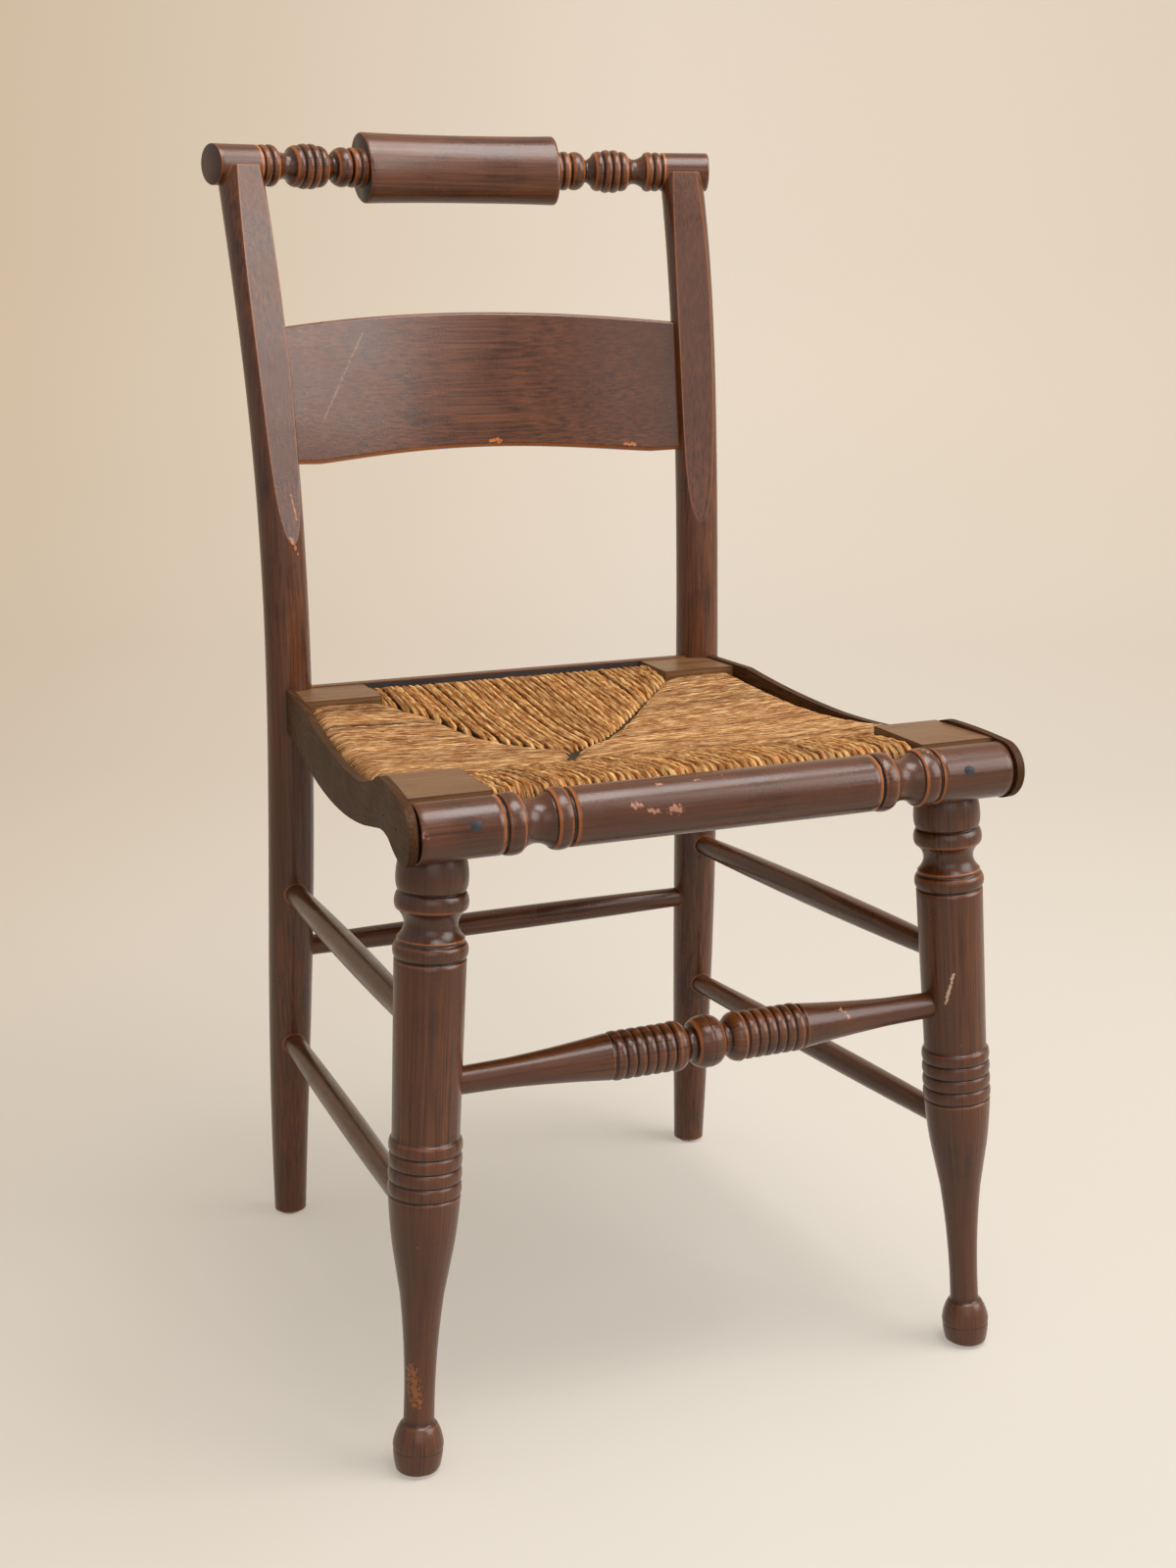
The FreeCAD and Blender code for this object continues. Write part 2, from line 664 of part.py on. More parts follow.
# Rear posts, bent back above the seat and flattened in front
def round_loft(label, side, heights, extra):
    """A tapered round post through circles square to its bent centre line."""
    curve = post_curve(side)
    rings = []
    for n, height in enumerate(heights):
        point, way = on_post(curve, height)
        ring = doc.addObject("Part::Circle", "%s_ring_%d" % (label, n))
        ring.Radius = post_radius(height) + extra
        ring.Placement = lying(point, way)
        rings.append(ring)
    loft = doc.addObject("Part::Loft", label)
    loft.Sections = rings
    loft.Solid = True
    loft.Ruled = False
    doc.recompute()
    return checked(loft)


seat_up, top_up = seat_height("post_seat_up"), size("post_top_up")
post_heights = [0.0, seat_up / 5, size("post_low_up"), seat_up, size("post_bend_up"), top_up]
post_curves = {hand: post_curve(side) for side, hand in left_and_right}
post_blanks = {}
post_rooms = {}
for side, hand in left_and_right:
    post_blanks[hand] = round_loft("post_blank_" + hand, side, post_heights, 0.0)
    near_seat = [seat_up - 60, seat_up - 20, seat_up + 20, seat_up + 60]
    post_rooms[hand] = round_loft("post_room_" + hand, side, near_seat, gap_width)


def flat_cutter(label, side):
    """Takes the flat off a post's front, running out at its lower end."""
    curve = post_curve(side)
    start, full = size("post_flat_start"), size("post_flat_full")
    line = []
    for height, offset in (
        (start, post_radius(start)),
        ((start + full) / 2, (post_radius(start) + 3 * size("post_flat_offset")) / 4),
        (full, size("post_flat_offset")),
        (top_up - 80, size("post_flat_offset")),
        (top_up + 10, size("post_flat_offset")),
    ):
        point, way = on_post(curve, min(height, top_up))
        line.append(Vector(0, point.y - offset, height))
    front = Part.BSplineCurve()
    front.interpolate(line)
    far = 60.0
    wire = Part.Wire([
        front.toShape(),
        Part.makeLine(line[-1], line[-1] - Vector(0, far, 0)),
        Part.makeLine(line[-1] - Vector(0, far, 0), line[0] - Vector(0, far, 0)),
        Part.makeLine(line[0] - Vector(0, far, 0), line[0]),
    ])
    slab = Part.Face(wire).extrude(Vector(2 * far, 0, 0))
    slab.translate(Vector(-far, 0, 0))
    middle = on_post(curve, top_up)[0]
    cutter = doc.addObject("Part::Feature", label)
    slab.rotate(Vector(0, middle.y, 0), UP, -side * size("post_flat_turn"))
    slab.translate(Vector(middle.x, 0, 0))
    cutter.Shape = slab
    return cutter


# Bent crest rail, turned beads on both sides of an oval pillow
def crest_half():
    """Stations of the turned end, from inside the pillow out to the plain end."""
    groove = size("crest_groove")
    small = size("crest_inner_bead_radius")
    stations = [(size("pillow_half_length") - 6.0, small - 0.4)]
    at = size("pillow_half_length") + 3.5
    stations.append((at, small - 0.4))

    def bead(width, peak, edge):
        nonlocal at
        if stations[-1][0] < at:
            stations.append((at, edge))
        for share, fullness in ((0.14, 0.68), (0.5, 1.0), (0.86, 0.68), (1.0, 0.0)):
            stations.append((at + share * width, edge + (peak - edge) * fullness))
        at += width

    def step(width, radius):
        nonlocal at
        at += width
        stations.append((at, radius))

    edge = small - size("crest_groove_depth")
    step(groove / 2, edge)
    bead(size("crest_inner_bead"), small, edge)
    bead(size("crest_inner_bead"), small, edge)
    inner = size("crest_inner_neck_radius")
    step(0.6, inner + 3.2)
    step(size("crest_inner_bell") / 2, inner + 1.2)
    step(size("crest_inner_bell") / 2, inner)
    step(size("crest_inner_taper") / 2, inner + 1.6)
    step(size("crest_inner_taper") / 2, inner + 4.4)
    big = size("crest_bead_radius")
    edge = big - size("crest_groove_depth")
    bead(size("crest_bead"), big, edge)
    bead(size("crest_bead"), size("crest_middle_bead_radius"), edge)
    bead(size("crest_bead"), big, edge)
    outer = size("crest_outer_neck_radius")
    step(0.6, outer + 1.8)
    step(size("crest_outer_taper") - 0.6, outer)
    step(size("crest_outer_bell") / 2, outer + 0.8)
    step(size("crest_outer_bell") / 2, outer + 2.4)
    end = size("crest_end_radius")
    bead(size("crest_outer_bead"), end - 0.2, end - size("crest_groove_depth"))
    step(groove, end - size("crest_groove_depth"))
    step(1.0, end)
    tip = crest_bend * math.asin(chord / crest_bend)
    stations.append((tip - 1.0, end))
    stations.append((tip, end - 0.7))
    return stations


def crest_circle(along, radius):
    """A circle square to the crest's axis."""
    point, way = crest_point(along)
    return Part.Wire(Part.makeCircle(radius, point, way))


def pillow_oval(along, shrink):
    """The pillow's leaning oval, square to the crest's axis."""
    point, way = crest_point(along)
    tall = Vector(0, math.sin(pillow_lean), math.cos(pillow_lean))
    tall = (tall - way * tall.dot(way)).normalize()
    deep = way.cross(tall)
    oval = Part.Ellipse(
        point + tall * (size("pillow_half_height") - shrink),
        point + deep * (size("pillow_half_depth") - shrink),
        point,
    )
    return Part.Wire(oval.toShape())


def crest_shape():
    """Both turned ends and the pillow as one bent piece."""
    half = size("pillow_half_length")
    rim = size("pillow_edge")
    marks = [half, half - 0.3 * rim, half - rim]
    shrinks = [rim, 0.3 * rim, 0.0]
    ovals = [pillow_oval(-m, s) for m, s in zip(marks, shrinks)]
    ovals += [pillow_oval(half * share, 0.0) for share in (-0.6, -0.2, 0.2, 0.6)]
    ovals += [pillow_oval(m, s) for m, s in reversed(list(zip(marks, shrinks)))]
    solid = Part.makeLoft(ovals, True, True)
    stations = crest_half()
    for side in (-1, 1):
        end = Part.makeLoft([crest_circle(side * s, r) for s, r in stations], True, True)
        solid = solid.fuse(end)
    return solid


crest_blank = doc.addObject("Part::Feature", "crest_blank")
crest_blank.Shape = crest_shape()
crest_sockets = []
rear_posts = {}
for side, hand in left_and_right:
    point, way = on_post(post_curves[hand], top_up)
    crest_way = crest_point(side * crest_bend * math.asin(abs(point.x) / crest_bend))[1]
    axis_point = crest_point(side * crest_bend * math.asin(abs(point.x) / crest_bend))[0]
    saddle = rod(
        "crest_saddle_" + hand,
        named("crest_end_radius") + gap,
        named("crest_end_radius") * 4,
        lying(axis_point - crest_way * size("crest_end_radius") * 2, crest_way),
    )
    tenon_start = axis_point - way * (size("crest_end_radius") + 6)
    tenon = rod(
        "post_tenon_" + hand,
        named("post_tenon_radius"),
        named("crest_end_radius") + 6 + named("post_tenon_length"),
        lying(tenon_start, way),
    )
    crest_sockets.append(rod(
        "crest_socket_" + hand,
        named("post_tenon_radius") + gap,
        named("crest_end_radius") + 6 + named("post_tenon_length") + gap,
        lying(tenon_start, way),
    ))
    flat = flat_cutter("post_flat_" + hand, side)
    coped = cut("post_coped_" + hand, post_blanks[hand], [saddle, flat])
    levels = block(
        "post_levels_" + hand,
        Vector(point.x - reach, point.y - reach, floor),
        Vector(point.x + reach, point.y + reach, top_up),
    )
    trimmed = shared("post_trimmed_" + hand, (coped, levels))
    rear_posts[hand] = joined("post_whole_" + hand, [trimmed, tenon])


# Back slat, bent to a bow and let into both posts
def slat_board(label, extra):
    """The bent, shaped board; extra widens it for the mortise that takes it."""
    ends = named("slat_end_half")
    half = named("slat_thick") / 2
    if extra:
        half = half + gap
    bow_depth = named("slat_bow")
    bent = pad_body(
        label + "_bent", "XY_Plane", (ends * -1, half * -1),
        [
            (ends, half * -1, bow_depth * -1),
            (ends, half, 0),
            (ends * -1, half, bow_depth),
            (ends * -1, half * -1, 0),
        ],
        named("slat_height") * 1.5,
    )
    arch = named("slat_arch_half")
    top = named("slat_height")
    grow = gap if extra else ZERO
    face = pad_body(
        label + "_face", "XZ_Plane", (ends * -1, grow * -1),
        [
            (arch * -1, grow * -1, 0),
            (arch, grow * -1, named("slat_arch") * -1),
            (ends, grow * -1, 0),
            (ends, top + grow, 0),
            (ends * -1, top + grow, named("slat_crown")),
            (ends * -1, grow * -1, 0),
        ],
        named("slat_bow") * 4, both_sides=True,
    )
    return shared(label, (bent, face))


slat_middle_up = size("slat_low_up") + size("slat_height") / 2
slat_back = on_post(post_curves["left"], slat_middle_up)[0].y
slat_place = Placement(
    Vector(0, slat_back, slat_middle_up), Rotation(Vector(1, 0, 0), -size("slat_rake"))
) * Placement(Vector(0, 0, -size("slat_height") / 2), Rotation())


def placed_copy(label, thing, place):
    """The same shape set in its place."""
    result = doc.addObject("Part::Compound", label)
    result.Links = [thing]
    result.Placement = place
    doc.recompute()
    return checked(result)


back_slat = placed_copy("slat_in_place", slat_board("slat", 0), slat_place)
slat_room = placed_copy("slat_room_in_place", slat_board("slat_room", 1), slat_place)


# Stretchers: one turned in front, one plain behind, two plain on each side
def between(start, end, inset):
    """Place and length of a stretcher that stops short of both middles."""
    way = (end - start).normalize()
    return lying(start + way * inset, way), (end - start).Length - 2 * inset


inset = size("tenon_inset")
leg_sockets = {"left": [], "right": []}
post_sockets = {"left": [], "right": []}


def socket(label, radius, place, length, at_end, depth):
    """A bored hole for the end of a stretcher, with its glue gap."""
    deep = depth + gap + named("socket_run_out")
    shift = length + gap_width - deep.number if at_end else -gap_width
    bored = place * Placement(Vector(0, 0, shift), Rotation())
    return rod(label, radius + gap, deep, bored)


def spool(label, length):
    """The front stretcher: two hollow tapers, ringed spools and a middle ball."""
    work = Turning(named("spool_end_radius") - 0.2)
    end = Size(length / 2, str(length / 2)) - named("spool_taper")
    end = end - named("spool_ring") * int(size("spool_ring_count"))
    end = end - named("spool_head") - named("spool_head_slope")
    end = end - named("spool_neck") - named("spool_ball") / 2 - 2.2
    work.to(named("rail_end_length"), named("spool_end_radius"))
    work.to(end - named("rail_end_length"), named("spool_taper_low"))
    sweep = (named("spool_taper_low") + named("spool_taper_radius")) / 2 - 0.4
    work.bead(named("spool_taper"), sweep, named("spool_taper_radius"))
    work.to(Size(1.2, "1.2"), named("spool_groove_radius"))
    work.straight(Size(1.0, "1.0"))
    for _ in range(int(size("spool_ring_count"))):
        work.bead(named("spool_ring"), named("spool_ring_radius"))
    head = (named("spool_groove_radius") + named("spool_head_radius")) / 2 + 0.5
    work.bead(named("spool_head"), head, named("spool_head_radius"))
    slope = (named("spool_head_radius") + named("spool_neck_radius")) / 2 + 0.9
    work.bead(named("spool_head_slope"), slope, named("spool_neck_radius"))
    work.straight(named("spool_neck"))
    work.bead(named("spool_ball"), named("spool_ball_radius"))
    work.straight(named("spool_neck"))
    work.bead(named("spool_head_slope"), slope, named("spool_head_radius"))
    work.bead(named("spool_head"), head, named("spool_groove_radius"))
    for _ in range(int(size("spool_ring_count"))):
        work.bead(named("spool_ring"), named("spool_ring_radius"))
    work.straight(Size(1.0, "1.0"))
    work.to(Size(1.2, "1.2"), named("spool_taper_radius"))
    work.bead(named("spool_taper"), sweep, named("spool_taper_low"))
    work.to(end - named("rail_end_length"), named("spool_end_radius"))
    work.to(named("rail_end_length"), named("spool_end_radius") - 0.2)
    return work.body(label)


def plain_rail(label, length, swell):
    """A plain stretcher, thickest in the middle, with straight ends."""
    work = Turning(named("rail_end_radius"))
    work.straight(named("rail_end_length"))
    body = Size(length, str(length)) - named("rail_end_length") * 2
    work.to(body, named("rail_end_radius"), named("rail_radius") - swell - named("rail_end_radius"))
    work.straight(named("rail_end_length"))
    return work.body(label)


stretchers = {}
up = size("front_stretcher_up")
place, length = between(front_leg_at(-1, up), front_leg_at(1, up), inset)
stretchers["front_stretcher"] = spool("spool_stretcher", length)
stretchers["front_stretcher"].Placement = place
thick = named("spool_end_radius")
depth = named("rail_end_length")
leg_sockets["left"].append(socket("spool_socket_left", thick, place, length, False, depth))
leg_sockets["right"].append(socket("spool_socket_right", thick, place, length, True, depth))

up = size("rear_stretcher_up")
rear_ends = [on_post(post_curves[hand], up)[0] for hand in ("left", "right")]
place, length = between(rear_ends[0], rear_ends[1], inset)
stretchers["rear_stretcher"] = plain_rail("rear_rail", length, 0.5)
stretchers["rear_stretcher"].Placement = place
thick = named("rail_end_radius")
post_sockets["left"].append(socket("rear_socket_left", thick, place, length, False, depth))
post_sockets["right"].append(socket("rear_socket_right", thick, place, length, True, depth))

for side, hand in left_and_right:
    for level in ("upper", "lower"):
        start = front_leg_at(side, size(level + "_front_up"))
        end = on_post(post_curves[hand], size(level + "_rear_up"))[0]
        place, length = between(start, end, inset)
        name = "%s_rail_%s" % (level, hand)
        rail = plain_rail(name, length, 0.0 if level == "upper" else 0.6)
        rail.Placement = place
        stretchers["side_stretcher_%s_%s" % (level, hand)] = rail
        leg_sockets[hand].append(socket(name + "_front_socket", thick, place, length, False, depth))
        post_sockets[hand].append(socket(name + "_rear_socket", thick, place, length, True, depth))


# Corner blocks: where legs, posts and lists meet
def front_block_outline(side):
    """Corners of a front block in plan, its outer side against the casing."""
    thick = size("casing_thick")
    inner = named("front_block_inner") * side
    near, far = named("front_block_face"), named("front_block_back")
    outer_near = casing_size(near) * side
    outer_far = casing_size(far) * side
    return inner, outer_near, outer_far, near, far


def casing_size(back):
    """Inner face of a side casing at a distance, as a sheet formula."""
    run = back + named("roll_axis_front")
    whole = named("post_seat_back") - named("post_seat_radius") + named("roll_axis_front")
    taper = named("casing_rear_half") - named("casing_front_half")
    return named("casing_front_half") + taper * run / whole - named("casing_thick") - gap


def corner_block(label, side, inner, near, far, low, top):
    """A corner block in plan, padded from its underside to its top."""
    inner = inner * side
    outer_near = casing_size(near) * side
    outer_far = casing_size(far) * side
    corners = [(outer_near, near, 0), (outer_far, far, 0), (inner, far, 0), (inner, near, 0)]
    solid = pad_body(label, "XY_Plane", (inner, near), corners, top - low)
    solid.Placement.Base.z = low.number
    return solid


def list_tool(label, place, length, extra):
    """A list's tenon or, with extra, the mortise that takes it."""
    wide = named("list_width") - named("list_shoulder") * 2
    tall = named("list_height") - named("list_shoulder") * 2
    tenon = doc.addObject("Part::Box", label)
    grow = gap if extra else ZERO
    tenon.setExpression("Length", (length + grow * 2).formula)
    tenon.setExpression("Width", (wide + grow * 2).formula)
    tenon.setExpression("Height", (tall + grow * 2).formula)
    doc.recompute()
    centre = Vector(-grow.number, -(wide / 2 + grow).number, -(tall / 2 + grow).number)
    tenon.Placement = place * Placement(centre, Rotation())
    return tenon


blocks = {}
block_tools = {}
for side, hand in left_and_right:
    blocks["front_" + hand] = corner_block(
        "front_block_blank_" + hand, side, named("front_block_inner"),
        named("front_block_face"), named("front_block_back"),
        named("seat_under"), seat_level("front_block_top"),
    )
    blocks["rear_" + hand] = corner_block(
        "rear_block_blank_" + hand, side, named("rear_block_inner"),
        named("rear_block_face"), named("rear_frame_back") - gap,
        seat_level("rear_block_under"), seat_level("rear_block_top"),
    )
    base = front_leg_at(side, size("seat_under") - 10)
    lean = (base - front_leg_at(side, 0.0)).normalize()
    bored = rod(
        "leg_hole_" + hand, named("leg_tenon_radius") + gap,
        named("leg_tenon_length") + 10 + gap, lying(base, lean),
    )
    block_tools["front_" + hand] = [bored]
    block_tools["rear_" + hand] = [post_rooms[hand]]


# Seat lists, tenoned into the corner blocks and hidden by the rush
half_list = size("list_width") / 2
front_list_back = size("front_block_face") + size("rush_wrap") + half_list + 0.5
front_list_up = seat_height("front_block_top") - size("rush_wrap") - size("list_height") / 2
rear_list_back = size("rear_frame_back") - size("rush_wrap") - half_list
rear_list_up = seat_height("rear_block_top") - size("rush_wrap") - size("list_height") / 2


rush_rooms = []


def straight_list(name, inner, back, height):
    """A straight list across the seat with a tenon at each end."""
    reach = size(inner)
    bars = []
    for label, grow in (("_bar", ZERO), ("_rush_room", gap)):
        bar = doc.addObject("Part::Box", name + label)
        bar.setExpression("Length", (named(inner) * 2 + grow * 2).formula)
        bar.setExpression("Width", (named("list_width") + grow * 2).formula)
        bar.setExpression("Height", (named("list_height") + grow * 2).formula)
        low = Vector(-reach, back - half_list, height - size("list_height") / 2)
        bar.Placement.Base = low - Vector(1, 1, 1) * grow.number
        bars.append(bar)
    doc.recompute()
    bar = bars[0]
    rush_rooms.append(bars[1])
    long = named(inner) * 2 + named("list_tenon") * 2
    place = Placement(Vector(-reach - size("list_tenon"), back, height), Rotation())
    tenon = list_tool(name + "_tenon", place, long, False)
    room = list_tool(name + "_mortise", place, long, True)
    return joined(name + "_whole", [bar, tenon]), room


lists = {}
front_list, room = straight_list("front_list", "front_block_inner", front_list_back, front_list_up)
lists["seat_list_front"] = front_list
for hand in ("left", "right"):
    block_tools["front_" + hand].append(room)
rear_list, room = straight_list("rear_list", "rear_block_inner", rear_list_back, rear_list_up)
lists["seat_list_rear"] = rear_list
for hand in ("left", "right"):
    block_tools["rear_" + hand].append(room)

side_front_up = front_list_up
side_rear_up = rear_list_up
side_ends = (seat_height("casing_hump_top") + seat_height("casing_rear_top")) / 2
side_dip = side_ends - seat_height("casing_dip_top")
for side, hand in left_and_right:
    near, far = size("front_block_back"), size("rear_block_face")
    set_in = size("casing_thick") + size("rush_wrap") + half_list
    start = Vector(side * casing_half(near, set_in), near, side_front_up)
    end = Vector(side * casing_half(far, set_in), far, side_rear_up)
    flat_way = Vector(end.x - start.x, end.y - start.y, 0)
    length = Size(flat_way.Length, str(flat_way.Length))
    fall = Size(side_rear_up - side_front_up, str(side_rear_up - side_front_up))
    dip = Size(side_dip, str(side_dip))
    turn = math.degrees(math.atan2(flat_way.y, flat_way.x))
    bars = []
    for label, grow in (("side_list_bent_", ZERO), ("side_list_rush_room_", gap)):
        tall = named("list_height") / 2 + grow
        near_end = grow * -1
        bar = pad_body(
            label + hand, "XZ_Plane", (near_end, tall * -1),
            [
                (length + grow, fall - tall, dip),
                (length + grow, fall + tall, 0),
                (near_end, tall, dip * -1),
                (near_end, tall * -1, 0),
            ],
            named("list_width") + grow * 2, both_sides=True,
        )
        bar.Placement = Placement(start, Rotation(UP, turn))
        bars.append(bar)
    bent = bars[0]
    rush_rooms.append(bars[1])
    way = flat_way.normalize()
    pieces = [bent]
    depth = named("list_tenon")
    for label, point, push, target in (
        ("near", start, way * -1, "front_"), ("far", end, way, "rear_"),
    ):
        angle = math.degrees(math.atan2(push.y, push.x))
        place = Placement(point - push * 2, Rotation(UP, angle))
        name = "side_list_%s_%s" % (label, hand)
        pieces.append(list_tool(name + "_tenon", place, depth + 2, False))
        block_tools[target + hand].append(list_tool(name + "_mortise", place, depth + 2, True))
    lists["seat_list_" + hand] = joined("side_list_whole_" + hand, pieces)


# Front roll, turned, with a flat back that lies on the front blocks
half_roll = casing_size(named("front_block_face"))
plain_end = half_roll - named("roll_middle_length") / 2
for part in ("roll_groove", "roll_outer_bead", "roll_fillet", "roll_cove",
             "roll_fillet", "roll_inner_bead", "roll_groove"):
    plain_end = plain_end - named(part)
bead_edge = named("roll_groove_radius") + 0.6
roll = Turning(named("roll_end_radius"))
roll.straight(plain_end)
roll.to(ZERO + 0.3, named("roll_groove_radius"))
roll.straight(named("roll_groove") - 0.3)
roll.to(ZERO + 0.2, bead_edge)
roll.bead(named("roll_outer_bead") - 0.4, named("roll_bead_radius"))
roll.to(ZERO + 0.2, named("roll_fillet_radius"))
roll.straight(named("roll_fillet"))
roll.bead(named("roll_cove"), named("roll_cove_radius"))
roll.straight(named("roll_fillet"))
roll.to(ZERO + 0.2, bead_edge)
roll.bead(named("roll_inner_bead") - 0.4, named("roll_bead_radius"))
roll.to(ZERO + 0.2, named("roll_groove_radius"))
roll.straight(named("roll_groove") - 0.3)
roll.to(ZERO + 0.3, named("roll_middle_radius"))
roll.straight(named("roll_middle_length"))
roll.to(ZERO + 0.3, named("roll_groove_radius"))
roll.straight(named("roll_groove") - 0.3)
roll.to(ZERO + 0.2, bead_edge)
roll.bead(named("roll_inner_bead") - 0.4, named("roll_bead_radius"))
roll.to(ZERO + 0.2, named("roll_fillet_radius"))
roll.straight(named("roll_fillet"))
roll.bead(named("roll_cove"), named("roll_cove_radius"))
roll.straight(named("roll_fillet"))
roll.to(ZERO + 0.2, bead_edge)
roll.bead(named("roll_outer_bead") - 0.4, named("roll_bead_radius"))
roll.to(ZERO + 0.2, named("roll_groove_radius"))
roll.straight(named("roll_groove") - 0.3)
roll.to(ZERO + 0.3, named("roll_end_radius"))
roll.straight(plain_end)
roll_blank = roll.body("roll_blank")
roll_start = Vector(-half_roll.number, -size("roll_axis_front"), seat_height("roll_axis_up"))
roll_blank.Placement = lying(roll_start, Vector(1, 0, 0))
roll_back = size("front_block_face") - gap_width
behind_roll = block(
    "behind_roll",
    Vector(-half_roll.number - 10, roll_back, seat_height("roll_axis_up") - 40),
    Vector(half_roll.number + 10, roll_back + 40, seat_height("roll_axis_up") + 40),
)

# Roll screws with domed heads, sunk into the roll's plain ends
screws = []
roll_tools = [behind_roll]
rise = seat_height("roll_screw_up") - seat_height("roll_axis_up")
dome_front = -size("roll_axis_front") - math.sqrt(size("roll_end_radius") ** 2 - rise ** 2) - 0.5
for side, hand in left_and_right:
    work = Turning(ZERO + 0.8)
    work.to(named("screw_head_depth") * 0.4, named("screw_head_radius"), named("screw_head_depth") * 0.09)
    work.straight(named("screw_head_depth") * 0.6)
    work.to(ZERO + 0.05, named("screw_shank_radius"))
    work.straight(named("screw_length") - named("screw_head_depth") - 4.05)
    work.to(ZERO + 4.0, ZERO + 0.4)
    screw = work.body("roll_screw_" + hand)
    start = Vector(side * size("roll_screw_half"), dome_front, seat_height("roll_screw_up"))
    way = Vector(0, 1, 0)
    screw.Placement = lying(start, way)
    screws.append(screw)
    sink = rod(
        "screw_sink_" + hand, named("screw_head_radius") + gap,
        named("screw_head_depth") + gap + named("socket_run_out"),
        lying(start - way * size("socket_run_out"), way),
    )
    shaft = rod(
        "screw_shaft_" + hand, named("screw_shank_radius") + gap,
        named("screw_length") + gap, lying(start, way),
    )
    roll_tools.extend([sink, shaft])
    block_tools["front_" + hand].append(shaft)


# Side casings: thin boards with a shaped edge and a nose round the roll's end
def edge_steps():
    """Outline of a side casing, by distance behind the roll's axis."""
    axis, nose = seat_level("roll_axis_up"), named("casing_nose_radius")
    soft = named("casing_sweep")
    hump, top = named("casing_hump_at"), seat_level("casing_hump_top")
    rear = named("post_seat_back") + named("roll_axis_front")
    belly = seat_level("casing_belly_end") - seat_level("casing_dip_low")
    start = (ZERO, axis - nose)
    steps = [
        (ZERO, axis + nose, named("casing_nose_reach") * -1),
        (hump, top, soft * -0.4),
        (hump + named("casing_hump_back"), top - named("casing_hump_fall"), soft * -0.6),
        (named("casing_slope_at"), seat_level("casing_slope_top"), soft * 0.5),
        (named("casing_dip_at"), seat_level("casing_dip_top"), soft * 0.4),
        (named("casing_rise_at"), seat_level("casing_rear_top"), soft),
        (rear, seat_level("casing_rear_top"), 0),
        (rear, seat_level("casing_rear_low"), 0),
        (named("casing_belly_rear"), seat_level("casing_belly_end"), 0),
        (named("casing_belly_front"), seat_level("casing_belly_end"), belly * -1),
        (named("casing_notch_rear"), seat_level("casing_notch_low"), 0),
        (named("casing_notch_front"), seat_level("casing_notch_low"), soft * 0.6),
        (ZERO, axis - nose, soft * -0.9),
    ]
    return start, steps


casings = {}
for side, hand in left_and_right:
    start, steps = edge_steps()
    board = pad_body("casing_board_" + hand, "YZ_Plane", start, steps, named("casing_thick"))
    near = Vector(side * size("casing_front_half"), -size("roll_axis_front"), 0)
    far_back = size("rear_block_face")
    far = Vector(side * casing_half(far_back), far_back, 0)
    way = (far - near).normalize()
    inwards = Vector(-side * way.y, side * way.x, 0)
    corner = near + inwards * size("casing_thick") if side > 0 else near
    board.Placement = Placement(corner, Rotation(Vector(0, 1, 0), way))
    casings[hand] = (board, near, way, inwards)

rear_casing_size = (
    named("post_seat_half") * 2, named("casing_thick"),
    seat_level("rear_block_top") + 1.0 - seat_level("rear_casing_low"),
)
rear_board = doc.addObject("Part::Box", "rear_casing_board")
for side_name, amount in zip(("Length", "Width", "Height"), rear_casing_size):
    rear_board.setExpression(side_name, amount.formula)
rear_board.Placement.Base = Vector(
    -size("post_seat_half"), size("rear_frame_back"), seat_height("rear_casing_low"),
)

# Brads: two through each casing into each block, set just below the face
brads = []
casing_tools = {"left": [post_rooms["left"]], "right": [post_rooms["right"]]}
rear_casing_tools = [post_rooms["left"], post_rooms["right"]]


def brad(label, point, way, targets):
    """A thin nail and the hole it fills, added to the pieces it passes."""
    sunk = point + way * size("brad_set")
    brads.append(rod(label, named("brad_radius"), named("brad_length"), lying(sunk, way)))
    depth = named("brad_length") + named("brad_set") + gap
    hole = rod(label + "_hole", named("brad_radius") + gap, depth, lying(point, way))
    for target in targets:
        target.append(hole)


for side, hand in left_and_right:
    board, near, way, inwards = casings[hand]
    spots = (
        ("brad_front_near_back", "brad_front_up", "front_"),
        ("brad_front_far_back", "brad_front_up", "front_"),
        ("brad_rear_back", "brad_rear_low_up", "rear_"),
        ("brad_rear_back", "brad_rear_high_up", "rear_"),
    )
    for number, (back, height, target) in enumerate(spots, start=1):
        reach = size(back) + size("roll_axis_front")
        point = near + way * reach + UP * seat_height(height)
        targets = [casing_tools[hand], block_tools[target + hand]]
        brad("side_brad_%s_%d" % (hand, number), point, inwards, targets)
    for number, half in enumerate(("brad_inner_half", "brad_outer_half"), start=1):
        back = size("rear_frame_back") + size("casing_thick")
        point = Vector(side * size(half), back, seat_height("brad_rear_casing_up"))
        targets = [rear_casing_tools, block_tools["rear_" + hand]]
        brad("rear_brad_%s_%d" % (hand, number), point, Vector(0, -1, 0), targets)

# Dowels that hold the rear blocks to the posts
dowels = []
for side, hand in left_and_right:
    start = Vector(side * size("dowel_half"), size("dowel_start_back"), seat_height("dowel_up"))
    way = Vector(0, 1, 0)
    pin = rod("dowel_" + hand, named("dowel_radius"), named("dowel_length"), lying(start, way))
    dowels.append(pin)
    hole = rod(
        "dowel_hole_" + hand, named("dowel_radius") + gap,
        named("dowel_length") + gap * 2, lying(start - way * gap_width, way),
    )
    block_tools["rear_" + hand].append(hole)
    post_sockets[hand].append(hole)

